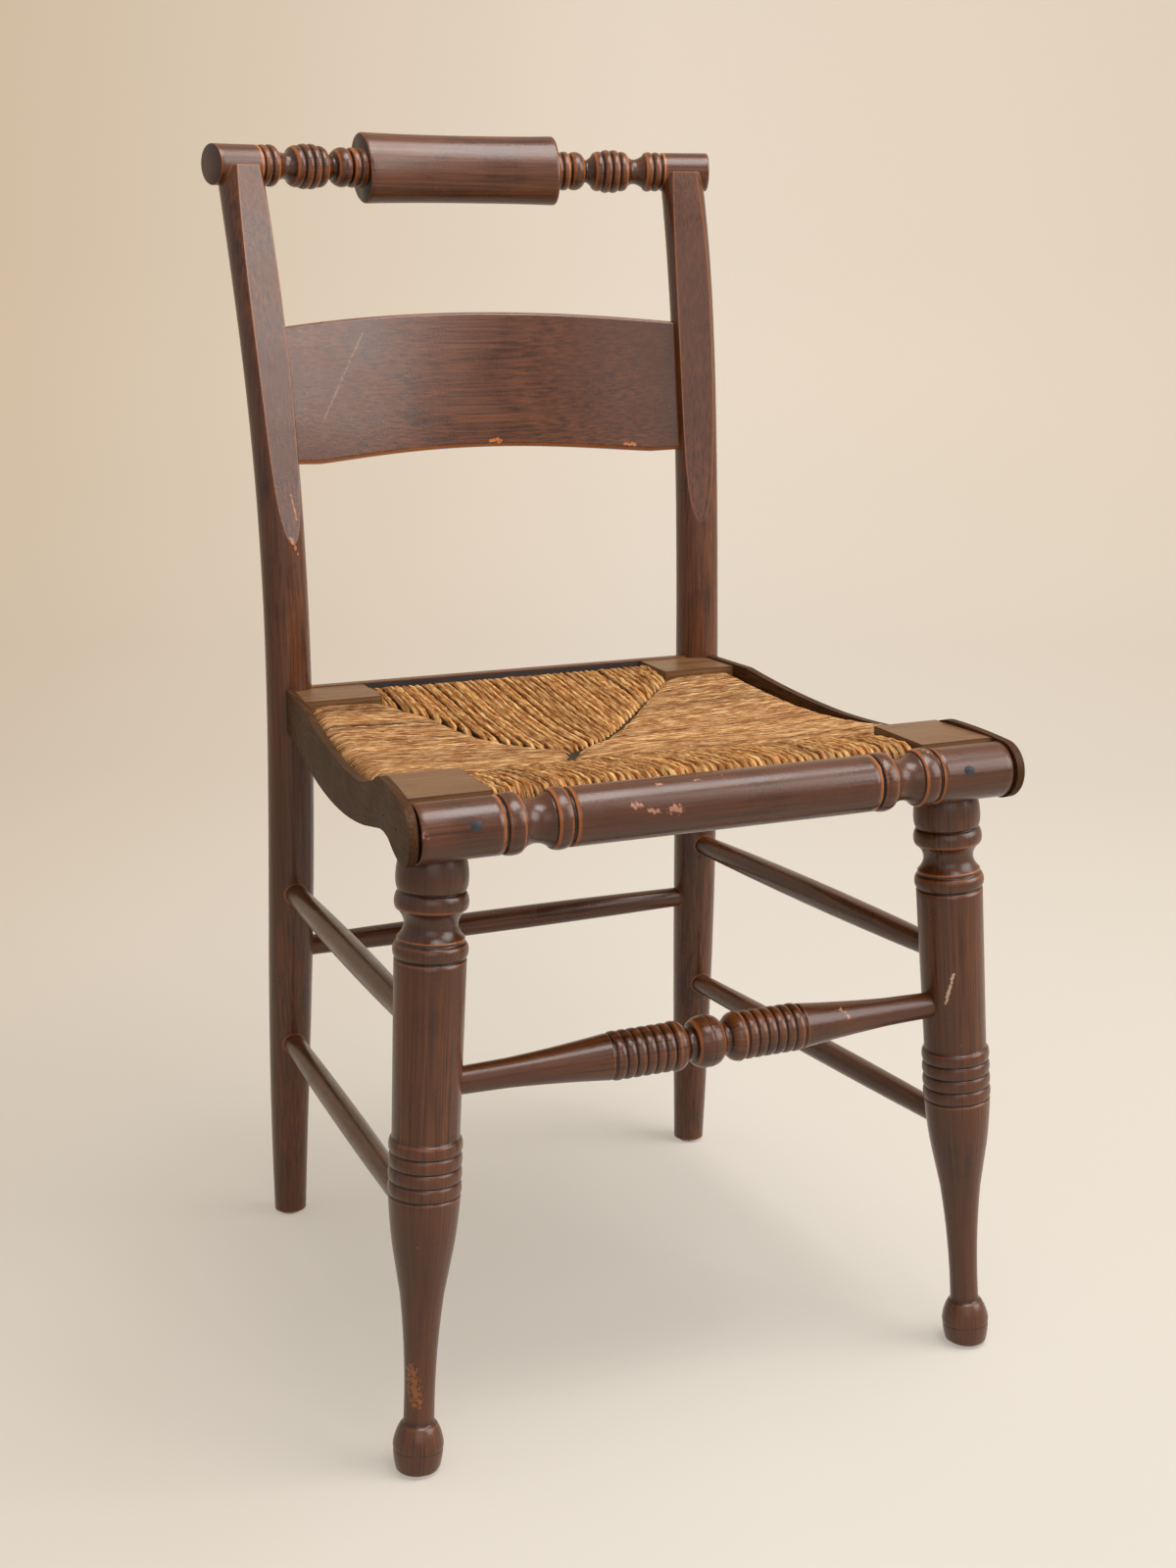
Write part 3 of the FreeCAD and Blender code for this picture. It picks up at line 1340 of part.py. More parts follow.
# Glides: a pale disc with a nail under each foot
glides = []
for side, hand in left_and_right:
    posts_foot = on_post(post_curves[hand], floor)[0]
    for name, foot_middle, holes in (
        ("front_" + hand, front_leg_at(side, floor), leg_sockets[hand]),
        ("rear_" + hand, posts_foot, post_sockets[hand]),
    ):
        work = Turning(named("glide_radius") - 0.8)
        work.to(ZERO + 0.8, named("glide_radius"))
        work.straight(named("glide_thick") - 0.8)
        work.to(ZERO + 0.02, named("glide_nail_radius"))
        work.straight(named("glide_nail_length"))
        glide = work.body("glide_" + name)
        glide.Placement.Base = Vector(foot_middle.x, foot_middle.y, 0)
        glides.append(glide)
        holes.append(rod(
            "glide_hole_" + name, named("glide_nail_radius") + gap,
            named("glide_nail_length") + 1.0, Placement(glide.Placement.Base + UP * floor, Rotation()),
        ))


# Rush seat: one pad that sags in the middle and wraps round the four lists
def rush_section(number, back, half, top, middle_top, under, middle_under, round_edge):
    """One closed outline across the seat, with rounded sides."""
    sketch = doc.addObject("Sketcher::SketchObject", "rush_section_%d" % number)
    sketch.Placement = Placement(Vector(0, back, 0), Rotation(Vector(1, 0, 0), 90))
    edge = Size(round_edge, str(round_edge))
    wide = Size(half - round_edge, str(half - round_edge))
    high, low = Size(top, str(top)), Size(under, str(under))
    start = (wide * -1, low)
    steps = [
        (wide, low, Size(under - middle_under, str(under - middle_under))),
        (wide, high, edge),
        (wide * -1, high, Size(middle_top - top, str(middle_top - top))),
        (wide * -1, low, edge),
    ]
    return draw_outline(sketch, start, steps)


wrap, air = size("rush_wrap"), size("rush_gap")
front_top, rear_top = seat_height("front_block_top"), seat_height("rear_block_top")
pad_low = seat_height("rush_low_point") - size("rush_middle")
side_top, side_low = seat_height("casing_dip_top") + 0.6, seat_height("casing_dip_low") + 0.6
front_low = front_list_up - size("list_height") / 2 - wrap
rear_low = rear_list_up - size("list_height") / 2 - wrap
rear_edge = size("rear_frame_back") - 0.2
low_at = size("rush_low_at")
stations = [
    (roll_back + air, front_top - wrap, front_top - wrap - 1, front_low + wrap, front_low + wrap + 1),
    (size("front_block_face") + wrap, front_top - 1, front_top - 2, front_low, front_low + 0.5),
    (front_list_back + half_list, front_top - 1.5, front_top - 3.5, front_low, front_low + 2),
    (low_at * 0.5, side_top + 8, seat_height("rush_low_point") + 10, side_low + 6, pad_low + 4),
    (low_at, side_top, seat_height("rush_low_point"), side_low, pad_low),
    (low_at * 1.55, side_top + 3, seat_height("rush_low_point") + 5, side_low + 2, pad_low + 3),
    (rear_list_back - half_list, rear_top - 1, rear_top - 3, rear_low, rear_low + 2),
    (rear_edge - wrap, rear_top - 0.5, rear_top - 1.5, rear_low, rear_low + 0.5),
    (rear_edge, rear_top - wrap, rear_top - wrap - 1, rear_low + wrap, rear_low + wrap + 1),
]
rush_sections = []
for number, (back, top, middle_top, under, middle_under) in enumerate(stations, start=1):
    half = casing_half(back, size("casing_thick") + air)
    rush_sections.append(rush_section(number, back, half, top, middle_top, under, middle_under, wrap - 1))
doc.recompute()
rush_pad = doc.addObject("Part::Loft", "rush_pad")
rush_pad.Sections = rush_sections
rush_pad.Solid = True
rush_pad.Ruled = True
doc.recompute()
checked(rush_pad)
for side, hand in left_and_right:
    for place, inner, near, far in (
        ("front", "front_block_inner", -20.0, size("front_block_back") + air),
        ("rear", "rear_block_inner", size("rear_block_face") - air, size("rear_frame_back") + 20),
    ):
        inside = side * (size(inner) - air)
        outside = side * (size("casing_front_half") + 10)
        rush_rooms.append(block(
            "rush_corner_%s_%s" % (place, hand),
            Vector(min(inside, outside), near, seat_height("casing_dip_low") - 30),
            Vector(max(inside, outside), far, seat_height("casing_hump_top") + 30),
        ))
doc.recompute()


# Last cuts, names and files
def bored_piece(label, base, tools):
    """A piece with its mortises and holes."""
    return cut(label + "_bored", base, tools) if tools else base


for side, hand in left_and_right:
    finish(bored_piece("front_leg_" + hand, front_legs[hand], leg_sockets[hand]), "front_leg_" + hand)
    holes = post_sockets[hand] + [slat_room]
    finish(bored_piece("rear_post_" + hand, rear_posts[hand], holes), "rear_post_" + hand)
finish(cut("crest_bored", crest_blank, crest_sockets), "crest_rail")
finish(back_slat, "back_slat")
finish(cut("roll_bored", roll_blank, roll_tools), "front_roll")
for place in ("front", "rear"):
    for side, hand in left_and_right:
        key = place + "_" + hand
        name = "corner_block_" + key
        finish(bored_piece(name, blocks[key], block_tools[key]), name)
for side, hand in left_and_right:
    name = "side_casing_" + hand
    finish(bored_piece(name, casings[hand][0], casing_tools[hand]), name)
finish(bored_piece("rear_casing", rear_board, rear_casing_tools), "rear_casing")
for name, piece in lists.items():
    finish(piece, name)
finish(cut("rush_cut", rush_pad, rush_rooms), "rush_seat")
for name, piece in stretchers.items():
    finish(piece, name)
finish(group("glide_group", glides), "foot_glides")
finish(group("screw_group", screws), "roll_screws")
finish(group("dowel_group", dowels), "post_dowels")
finish(group("brad_group", brads), "casing_brads")
doc.recompute()

for node in nodes:
    checked(node)
    if len(node.Shape.Solids) < 1:
        raise RuntimeError(node.Label + " holds no solid")
for node in nodes:
    node.Shape.exportStep("parts/%s.step" % node.Label)
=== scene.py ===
"""Looks of a wooden side chair with a turned pillow crest and a woven rush seat.

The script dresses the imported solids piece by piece. Turned pieces are worked out again
as fine surfaces with the worn finish of the real chair, and the rush is laid strand by
strand. Lengths are in millimetres until a mesh is made, in the chair's own frame: to the
right, to the back and up from the floor.
"""
import math

import bpy
import numpy as np
from mathutils import Matrix, Vector


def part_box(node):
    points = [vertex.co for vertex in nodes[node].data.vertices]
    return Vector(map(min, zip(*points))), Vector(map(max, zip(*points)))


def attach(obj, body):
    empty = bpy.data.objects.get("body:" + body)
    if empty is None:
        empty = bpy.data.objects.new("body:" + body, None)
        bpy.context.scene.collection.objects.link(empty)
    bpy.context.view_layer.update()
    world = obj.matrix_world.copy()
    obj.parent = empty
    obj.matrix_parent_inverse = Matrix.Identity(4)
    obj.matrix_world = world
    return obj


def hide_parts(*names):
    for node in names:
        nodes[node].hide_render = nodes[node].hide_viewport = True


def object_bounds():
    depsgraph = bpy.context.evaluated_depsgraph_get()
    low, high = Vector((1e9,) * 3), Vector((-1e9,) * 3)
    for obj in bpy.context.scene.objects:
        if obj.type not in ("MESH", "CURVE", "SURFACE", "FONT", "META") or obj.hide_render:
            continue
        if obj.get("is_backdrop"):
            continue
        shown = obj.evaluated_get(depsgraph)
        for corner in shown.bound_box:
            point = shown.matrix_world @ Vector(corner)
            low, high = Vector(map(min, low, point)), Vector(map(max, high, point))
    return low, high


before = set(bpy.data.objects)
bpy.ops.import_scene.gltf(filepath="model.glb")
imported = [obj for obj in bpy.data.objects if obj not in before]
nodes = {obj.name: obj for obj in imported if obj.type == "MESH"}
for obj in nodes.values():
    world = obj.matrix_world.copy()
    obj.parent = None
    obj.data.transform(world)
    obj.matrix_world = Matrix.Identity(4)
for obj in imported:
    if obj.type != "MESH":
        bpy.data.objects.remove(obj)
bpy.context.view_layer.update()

scene = bpy.context.scene

# Front legs: hardwood, turned from the foot up to a ball that stands under the seat. They
# are set at a slant, outwards and forwards, and painted a dark red-brown that has worn
# off the rings. The feet stand on a line in front of the chair's middle.
feet_line = 236.2
foot_spread, foot_lift, ball_top = 213.6, 3.0, 418.0
leg_lean, leg_rake = math.tan(math.radians(3.47)), math.tan(math.radians(3.01))


def walk(start_radius, steps):
    """Outline of a turned piece as two arrays, length and radius.

    A step gives its kind, its length and the radius at its end. A "line" and a "step" go
    there straight. A "bead" adds a half circle and a "soft" one a parabola, stretched so
    that the middle has the radius that stands before the end's.
    """
    line_step, curve_step, fewest, most = 4.0, 1.4, 9, 20
    lengths, radii = [np.array([0.0])], [np.array([start_radius])]
    here, radius = 0.0, start_radius
    for kind, length, *peak, end in steps:
        if kind == "line":
            share = np.linspace(0, 1, max(2, int(length / line_step)) + 1)[1:]
        elif kind == "step":
            share = np.array([0.5, 1.0])
        else:
            count = int(min(most, max(fewest, length / curve_step)))
            share = (1 - np.cos(np.linspace(0, np.pi, count + 1)[1:])) / 2
        bulge = 2 * np.sqrt(np.clip(share * (1 - share), 0, None))
        if kind == "soft":
            bulge = 4 * share * (1 - share)
        swell = peak[0] - (radius + end) / 2 if peak else 0.0
        lengths.append(here + length * share)
        radii.append(radius + (end - radius) * share + swell * bulge)
        here, radius = here + length, end
    return np.concatenate(lengths), np.concatenate(radii)


def quad_mesh(name, points, quads, uv, marks):
    """A smooth mesh from points and quads.

    uv holds each point's place in the grain, and marks maps an attribute's name to one
    number for each point.
    """
    mesh = bpy.data.meshes.new(name)
    mesh.vertices.add(points.size // 3)
    mesh.vertices.foreach_set("co", (points * 0.001).astype(np.float32).ravel())
    mesh.loops.add(quads.size)
    mesh.loops.foreach_set("vertex_index", quads.astype(np.int32).ravel())
    mesh.polygons.add(len(quads))
    mesh.polygons.foreach_set("loop_start", np.arange(0, quads.size, 4, dtype=np.int32))
    mesh.update(calc_edges=True)
    mesh.polygons.foreach_set("use_smooth", np.ones(len(quads), dtype=bool))
    for mark, values in marks.items():
        layer = mesh.attributes.new(mark, "FLOAT", "POINT")
        values = np.broadcast_to(values, points.shape[:-1]).astype(np.float32)
        layer.data.foreach_set("value", values.ravel())
    layer = mesh.uv_layers.new(name="lay")
    layer.data.foreach_set("uv", uv.reshape(-1, 2)[quads.ravel()].astype(np.float32).ravel())
    thing = bpy.data.objects.new(name, mesh)
    scene.collection.objects.link(thing)
    return thing


def grid_mesh(name, points, around_closed, uv, marks):
    """A mesh from a grid of points: rows run along the piece and columns round it."""
    rows, columns = points.shape[:2]
    index = np.arange(rows * columns).reshape(rows, columns)
    right = np.roll(index, -1, axis=1) if around_closed else index[:, 1:]
    left = index if around_closed else index[:, :-1]
    quads = np.stack([left[:-1], right[:-1], right[1:], left[1:]], axis=-1).reshape(-1, 4)
    return quad_mesh(name, points, quads, uv, marks)


def wear_marks(lengths, radii):
    """How proud and how sunken each point of an outline is, from 0 to 1.

    The radius is compared with its own average over a window of about 7 mm. What stands
    proud by full_mark or more is all worn, and what lies as deep takes the fullest painted shade.
    """
    per_mm, window, full_mark = 4, 29, 0.55
    even = np.linspace(lengths[0], lengths[-1], int(lengths[-1] * per_mm))
    radius = np.interp(even, lengths, radii)
    weights = np.hanning(window)
    padded = np.pad(radius, window // 2, mode="edge")
    average = np.convolve(padded, weights / weights.sum(), "valid")
    proud = np.interp(lengths, even, radius - average) / full_mark
    return np.clip(proud, 0, 1), np.clip(-proud, 0, 1)


def turned(name, outline, start, end, around=72, flat_back=None, level=None):
    """A turned piece from one point towards another: a circle at each length.

    The circle's radius is the outline's. Both ends are closed flat, with a ring near the
    rim and one round the middle. flat_back cuts the piece off behind a plane, and level
    holds it between two heights.
    """
    middle_ring, near_rim = 0.001, 0.97
    lengths, radii = outline
    worn, sunk = wear_marks(lengths, radii)
    start, end = np.array(start, float), np.array(end, float)
    way = (end - start) / np.linalg.norm(end - start)
    side = np.cross(way, [0, 0, 1.0] if abs(way[2]) < 0.9 else [0, 1.0, 0])
    side /= np.linalg.norm(side)
    third = np.cross(way, side)
    angle = np.linspace(0, 2 * np.pi, around, endpoint=False)
    along = np.concatenate([[0, 0], lengths, [lengths[-1]] * 2])
    start_end = [middle_ring, radii[0] * near_rim]
    radius = np.concatenate([start_end, radii, [radii[-1] * near_rim, middle_ring]])
    worn = np.concatenate([[0, 0.2], worn, [0.2, 0]])
    sunk = np.concatenate([[0, 0], sunk, [0, 0]])
    ring = np.cos(angle)[:, None] * side + np.sin(angle)[:, None] * third
    points = start + along[:, None, None] * way + radius[:, None, None] * ring[None]
    if level:
        points[..., 2] = np.clip(points[..., 2], level[0], level[1])
    if flat_back is not None:
        points[..., 1] = np.minimum(points[..., 1], flat_back)
    about = angle[None] * radii.mean()
    uv = np.stack(np.broadcast_arrays(along[:, None], about), axis=-1) * 0.001
    return grid_mesh(name, points, True, uv, {"worn": worn[:, None], "sunk": sunk[:, None]})


def feed(tree, node, given):
    """Gives a node its inputs: a number, a colour, or another node's output to link."""
    for socket, value in given.items():
        target = node.inputs[socket]
        if isinstance(value, bpy.types.NodeSocket):
            tree.links.new(value, target)
        else:
            target.default_value = (*value, 1) if target.type == "RGBA" else value


def add(tree, kind, given, **settings):
    """A new shader node with its settings and inputs."""
    node = tree.nodes.new("ShaderNode" + kind)
    for key, value in settings.items():
        setattr(node, key, value)
    feed(tree, node, given)
    return node


def bare_finish(name):
    """A new material, its node tree and its shader, with nothing linked to it yet."""
    material = bpy.data.materials.new(name)
    material.use_nodes = True
    tree = material.node_tree
    tree.nodes.clear()
    shader = add(tree, "BsdfPrincipled", {})
    add(tree, "OutputMaterial", {0: shader.outputs[0]})
    return material, tree, shader


def noise(tree, place, scale, detail, rough=0.5):
    """Soft noise from 0 to 1, with scale in waves per unit of the place."""
    given = {"Vector": place, "Scale": scale, "Detail": detail, "Roughness": rough}
    return add(tree, "TexNoise", given).outputs["Fac"]


def spread(tree, value, low, high, to_low=0.0, to_high=1.0):
    """Maps low to high onto to_low to to_high, and holds the value between them."""
    given = {"From Min": low, "From Max": high, "To Min": to_low, "To Max": to_high}
    return add(tree, "MapRange", {"Value": value, **given}).outputs[0]


def plus(tree, first, times, second):
    """The first value, so many times, plus the second."""
    return add(tree, "Math", {0: first, 1: times, 2: second}, operation="MULTIPLY_ADD").outputs[0]


def vector(tree, operation, given):
    """The node that works on vectors."""
    return add(tree, "VectorMath", given, operation=operation)


def mixed(tree, first, second, share, way="MIX"):
    """Two colours mixed, with this share of the second."""
    given = {"Factor": share, "A": first, "B": second}
    return add(tree, "Mix", given, data_type="RGBA", blend_type=way).outputs["Result"]


def colours_along(tree, value, *stops):
    """A colour for each value, from stops that hold a value and a colour each."""
    node = add(tree, "ValToRGB", {0: value})
    elements = node.color_ramp.elements
    for element, (place, colour) in ((elements[0], stops[0]), (elements[1], stops[-1])):
        element.position, element.color = place, (*colour, 1)
    for place, colour in stops[1:-1]:
        elements.new(place).color = (*colour, 1)
    return node.outputs[0]


def paint(name, base, ripple, worn_colour, gloss, grain_axis="UV", chips=0.3, shine=0.36):
    """Old paint or varnish on wood, worn on proud edges, with painted shade in the grooves.

    Fine streaks along the grain run from the first ripple colour to the second. Smudges
    bring in the base and clouds darken it. The worn colour shows where the clouds and the
    mark "worn" add up, rare chips are pale, and the mark "sunk" darkens it as painted shade.
    """
    material, tree, shader = bare_finish(name)
    place = add(tree, "TexCoord", {}).outputs
    along, over = 11, 560
    stretch = {
        "UV": (along, over, 1), "X": (along, over, over),
        "Y": (over, along, over), "Z": (over, over, along),
    }[grain_axis]
    flat = place["UV" if grain_axis == "UV" else "Object"]
    grain_place = add(tree, "Mapping", {"Vector": flat, "Scale": stretch}).outputs[0]
    streaks = noise(tree, grain_place, 1.0, 5, 0.7)
    clouds = noise(tree, place["Object"], 24, 6, 0.62)
    smudges = noise(tree, place["Object"], 9, 4)
    flecks = noise(tree, place["Object"], 75, 7, 0.62)
    fine = noise(tree, place["Object"], 520, 3, 0.6)
    worn, sunk = (
        add(tree, "Attribute", {}, attribute_name=mark).outputs["Fac"] for mark in ("worn", "sunk")
    )
    ripples = plus(tree, clouds, 0.45, streaks)
    colour = colours_along(tree, ripples, (0.55, ripple[0]), (0.93, ripple[1]))
    colour = mixed(tree, colour, base, spread(tree, smudges, 0.42, 0.64, 0.0, 0.6))
    dimmed = spread(tree, clouds, 0.48, 0.72, 0.0, 0.5)
    colour = mixed(tree, colour, (0.50, 0.44, 0.42), dimmed, "MULTIPLY")
    rubbed = spread(tree, plus(tree, clouds, 0.7, worn), 0.62, 1.15, 0.0, 0.85)
    colour = mixed(tree, colour, worn_colour, rubbed)
    pale = [0.22 + 0.7 * value for value in worn_colour]
    colour = mixed(tree, colour, pale, spread(tree, flecks, 0.695, 0.715, 0.0, 0.8 * chips))
    # Painted shade: the deeper the mark "sunk", the darker, as the shade that falls in grooves.
    painted_groove_shade = spread(tree, sunk, 0.0, 1.0, 0.0, 0.9)
    colour = mixed(tree, colour, (0.10, 0.07, 0.06), painted_groove_shade, "MULTIPLY")
    relief = {"Strength": 0.22, "Distance": 0.0005, "Height": plus(tree, streaks, 0.4, fine)}
    feed(tree, shader, {
        "Base Color": colour,
        "Roughness": spread(tree, clouds, 0.3, 0.75, gloss, gloss + 0.16),
        "Specular IOR Level": shine,
        "Coat Weight": 0.42 * shine,
        "Coat Roughness": 0.2,
        "Normal": add(tree, "Bump", relief).outputs[0],
    })
    return material


def lay_over(material, colour, share):
    """Lays a colour over a finish's own, with a share that varies from place to place."""
    tree = material.node_tree
    base = tree.nodes["Principled BSDF"].inputs["Base Color"]
    tree.links.new(mixed(tree, base.links[0].from_socket, colour, share), base)


def scratched(material, start, end, width, colour, strength):
    """Adds a scratch or a chip round a short line.

    It shows where the distance from the line, with a fine noise added that makes its edge
    ragged, stays under a limit that grows with the width.
    """
    tree = material.node_tree
    start, end = np.array(start) * 0.001, np.array(end) * 0.001
    length = float(np.linalg.norm(end - start))
    way = tuple((end - start) / length)
    place = add(tree, "TexCoord", {}).outputs["Object"]
    offset = vector(tree, "SUBTRACT", {0: place, 1: tuple(start)}).outputs[0]
    along = vector(tree, "DOT_PRODUCT", {0: offset, 1: way}).outputs["Value"]
    held = spread(tree, along, 0.0, length, 0.0, length)
    nearest = vector(tree, "SCALE", {0: way, "Scale": held}).outputs[0]
    away = vector(tree, "DISTANCE", {0: offset, 1: nearest}).outputs["Value"]
    ragged = plus(tree, noise(tree, place, 420, 2), width * 0.0040, away)
    lay_over(material, colour, spread(tree, ragged, width * 0.0029, width * 0.0024, 0.0, strength))


pale_scratch, orange_scratch = (0.60, 0.42, 0.27), (0.50, 0.16, 0.035)
bare_chip = (0.42, 0.19, 0.12)
red_brown = dict(
    base=(0.068, 0.0190, 0.0058), ripple=((0.029, 0.0080, 0.0028), (0.168, 0.049, 0.0122)),
    worn_colour=(0.42, 0.120, 0.024), gloss=0.23, shine=0.44,
)
leg_paint = paint("red_brown_leg_paint", **red_brown)
scratched(leg_paint, (184.5, -240.4, 290.7), (181.1, -237.5, 269.9), 1.2, pale_scratch, 0.9)
scratched(leg_paint, (-217.3, -239.0, 73.6), (-216.0, -241.8, 53.5), 5.0, orange_scratch, 0.45)


def front_leg_at(side, height):
    """Middle of a front leg at a height: it leans inwards and backwards as it rises."""
    across = side * (foot_spread - leg_lean * height)
    return np.array([across, leg_rake * height - feet_line, height])


foot_and_ankle = [
    ("bead", 17.0, 15.9, 16.2), ("bead", 17.0, 15.6, 11.0),
    ("step", 1.2, 10.2), ("line", 17.5, 10.1),
]
calf = [
    ("soft", 72.0, 11.35, 14.6), ("line", 31.0, 19.9),
    ("soft", 36.0, 22.1, 23.4), ("step", 1.2, 22.2),
]
rings = [("bead", 9.5, 24.0, 22.3)] * 4
shaft = [("step", 2.5, 22.0), ("line", 115.0, 23.2), ("step", 1.2, 21.6)]
collar_and_cove = [("bead", 10.5, 24.2, 21.6), ("line", 2.5, 21.8), ("soft", 18.5, 17.2, 21.7)]
bead_and_ball = [("bead", 12.0, 23.7, 20.7), ("bead", 27.75, 22.9, 17.7)]
leg_outline = walk(13.4, foot_and_ankle + calf + rings + shaft + collar_and_cove + bead_and_ball)
for side, hand in ((-1, "left"), (1, "right")):
    foot, top = front_leg_at(side, 0.0), front_leg_at(side, ball_top)
    level = (foot_lift, ball_top)
    leg = turned("turned_leg_" + hand, leg_outline, foot, top, around=88, level=level)
    leg.data.materials.append(leg_paint)
    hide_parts("front_leg_" + hand)
    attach(leg, "root")

# Rear posts: round hardwood, steamed and bent back above the seat, then planed flat in
# front. They have the same paint, with a bright worn line along both edges of the flat
# and two orange scratches on the left one.


def edge_coloured(material, colour=(0.34, 0.11, 0.03), strength=0.85):
    """Lays a colour along the sharp edges of a solid: where a rounded normal leaves the true one.
    """
    tree = material.node_tree
    rounded = add(tree, "Bevel", {"Radius": 0.0024}, samples=6).outputs[0]
    true = add(tree, "NewGeometry", {}).outputs["Normal"]
    alike = vector(tree, "DOT_PRODUCT", {0: rounded, 1: true}).outputs["Value"]
    lay_over(material, colour, spread(tree, alike, 0.998, 0.92, 0.0, strength))
    return material


def dress(node, material):
    """A solid that keeps its shape takes a material in place of its own."""
    thing = nodes[node]
    thing.data.materials.clear()
    thing.data.materials.append(material)


post_paint = edge_coloured(paint("red_brown_post_paint", grain_axis="Z", **red_brown))
scratched(post_paint, (-171.6, 147.6, 598.6), (-168.3, 145.2, 580.1), 0.9, orange_scratch, 0.8)
scratched(post_paint, (-175.3, 140.9, 567.6), (-169.5, 141.1, 553.8), 1.3, orange_scratch, 0.8)
for hand in ("left", "right"):
    dress("rear_post_" + hand, post_paint)

# Crest rail: one piece of hardwood, turned with beads and necks on both sides of an oval
# pillow and then bent backwards. The posts are let into its plain ends from below.
crest_chord, crest_bow, crest_up = 209.0, 31.0, 841.0
crest_bend = (crest_chord ** 2 + crest_bow ** 2) / (2 * crest_bow)
crest_half = crest_bend * math.asin(crest_chord / crest_bend)
crest_end_radius = 15.2
pillow_half, pillow_deep, pillow_high, pillow_lean = 82.0, 19.5, 27.8, math.radians(17)
crest_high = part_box("crest_rail")[1]
pillow_reach = math.hypot(pillow_high * math.sin(pillow_lean), pillow_deep * math.cos(pillow_lean))
crest_back = crest_high.y * 1000 - pillow_reach


def bent_along(name, lengths, deep, high, lean, around, marks):
    """A piece round the crest's bent axis: an oval at each length, square to the arc.

    The axis is an arc of a circle. The oval's half depth and half height are given for
    each length, and it leans back by an angle.
    """
    turn = lengths / crest_bend
    centre = np.stack([
        crest_bend * np.sin(turn),
        crest_back - crest_bend * (1 - np.cos(turn)),
        np.full_like(turn, crest_up),
    ], -1)
    back = np.stack([np.sin(turn), np.cos(turn), np.zeros_like(turn)], -1)
    angle = np.linspace(0, 2 * np.pi, around, endpoint=False)
    depth = deep[:, None] * np.cos(angle)[None]
    rise = high[:, None] * np.sin(angle)[None]
    leant_depth = depth * math.cos(lean) + rise * math.sin(lean)
    leant_rise = rise * math.cos(lean) - depth * math.sin(lean)
    points = centre[:, None] + leant_depth[..., None] * back[:, None]
    points = points + leant_rise[..., None] * np.array([0, 0, 1.0])
    uv = np.stack(np.broadcast_arrays(lengths[:, None] * 0.001, angle[None] * 0.02), -1)
    piece = grid_mesh(name, points[:, ::-1], True, uv[:, ::-1], marks)
    piece.data.materials.append(crest_paint)
    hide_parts("crest_rail")
    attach(piece, "root")


crest_paint = paint("red_brown_crest_paint", **red_brown)
inner_beads = [("bead", 6.5, 15.3, 13.4), ("bead", 6.5, 15.3, 13.2), ("step", 0.8, 11.8)]
inner_neck = [("bead", 12.5, 15.0, 9.4), ("line", 2.0, 8.8), ("soft", 5.5, 10.2, 12.8)]
four_beads = [
    ("bead", 7.2, 15.6, 14.0), ("bead", 7.2, 17.0, 14.6),
    ("bead", 7.2, 17.0, 14.0), ("bead", 7.2, 15.6, 12.8),
]
outer_neck = [("soft", 5.0, 10.6, 9.8), ("line", 2.0, 9.8), ("soft", 7.0, 11.0, 13.2)]
outer_beads = [
    ("bead", 7.0, 15.7, 13.6), ("bead", 6.6, 15.5, 13.6),
    ("step", 1.4, 13.4), ("step", 0.4, crest_end_radius),
]
beads_and_necks = inner_beads + inner_neck + four_beads + outer_neck + outer_beads
bead_length, bead_radius = walk(13.8, beads_and_necks)
side_length = crest_half - pillow_half
plain = bead_length[-1] + np.linspace(0.3, side_length - bead_length[-1] - 0.8, 12)
out = np.concatenate([[0.0], bead_length + 0.01, plain, [side_length - 0.3, side_length]])
end_radii = crest_end_radius - np.array([0.0] * 12 + [0.3, 0.8])
radius = np.concatenate([[8.0], bead_radius, end_radii])
worn, sunk = wear_marks(out, radius)
inside_pillow, closing = 1.5, 0.02
out = pillow_half - inside_pillow + np.append(out, out[-1] + closing)
radius, worn, sunk = np.append(radius, 0.01), np.append(worn, 0.1), np.append(sunk, 0)
for side, hand in ((-1, "left"), (1, "right")):
    order = slice(None) if side > 0 else slice(None, None, -1)
    marks = {"worn": worn[order][:, None], "sunk": sunk[order][:, None]}
    round_here = radius[order]
    bent_along("crest_beads_" + hand, side * out[order], round_here, round_here, 0.0, 72, marks)
half_pillow = np.array([
    0.0, 10.0, 20.0, 30.0, 40.0, 50.0, 60.0, 68.0, 75.0, 79.0, 80.6, 81.5, pillow_half,
])
waist = 0.962 + 0.038 * (half_pillow / pillow_half) ** 2.4
share = waist * (1 - 0.05 * np.clip((half_pillow - 80.0) / 2.0, 0, 1) ** 2)
half_pillow, share = np.append(half_pillow, pillow_half + 0.01), np.append(share, 0.001)
lengths = np.concatenate([-half_pillow[::-1], half_pillow[1:]])
share = np.concatenate([share[::-1], share[1:]])
rim = np.clip((np.abs(lengths) - 80) / 1.2, 0, 1)[:, None]
on_face = (np.abs(lengths) > 81.9)[:, None]
# Painted shade: the pillow's end faces, where it meets the necks, take the mark "sunk".
marks = {"worn": np.where(on_face, 0, 0.5 * rim), "sunk": 0.9 * on_face}
deep, high = pillow_deep * share, pillow_high * share
bent_along("crest_pillow", lengths, deep, high, pillow_lean, 96, marks)

# Back slat: a thin hardwood board, steamed and bent, arched below and crowned above. Its
# ends are let into the posts, its edges are eased, and the lower front edge is rubbed.
slat_bow, slat_half, slat_thick = 32.0, 174.0, 9.0
slat_high, slat_crown, slat_arch, slat_arch_half = 51.0, 15.5, 10.5, 142.0
slat_back, slat_up, slat_lean = 201.6, 664.6, math.radians(10.8)
slat_bend = (slat_half ** 2 + slat_bow ** 2) / (2 * slat_bow)
slat_ease = 3.2


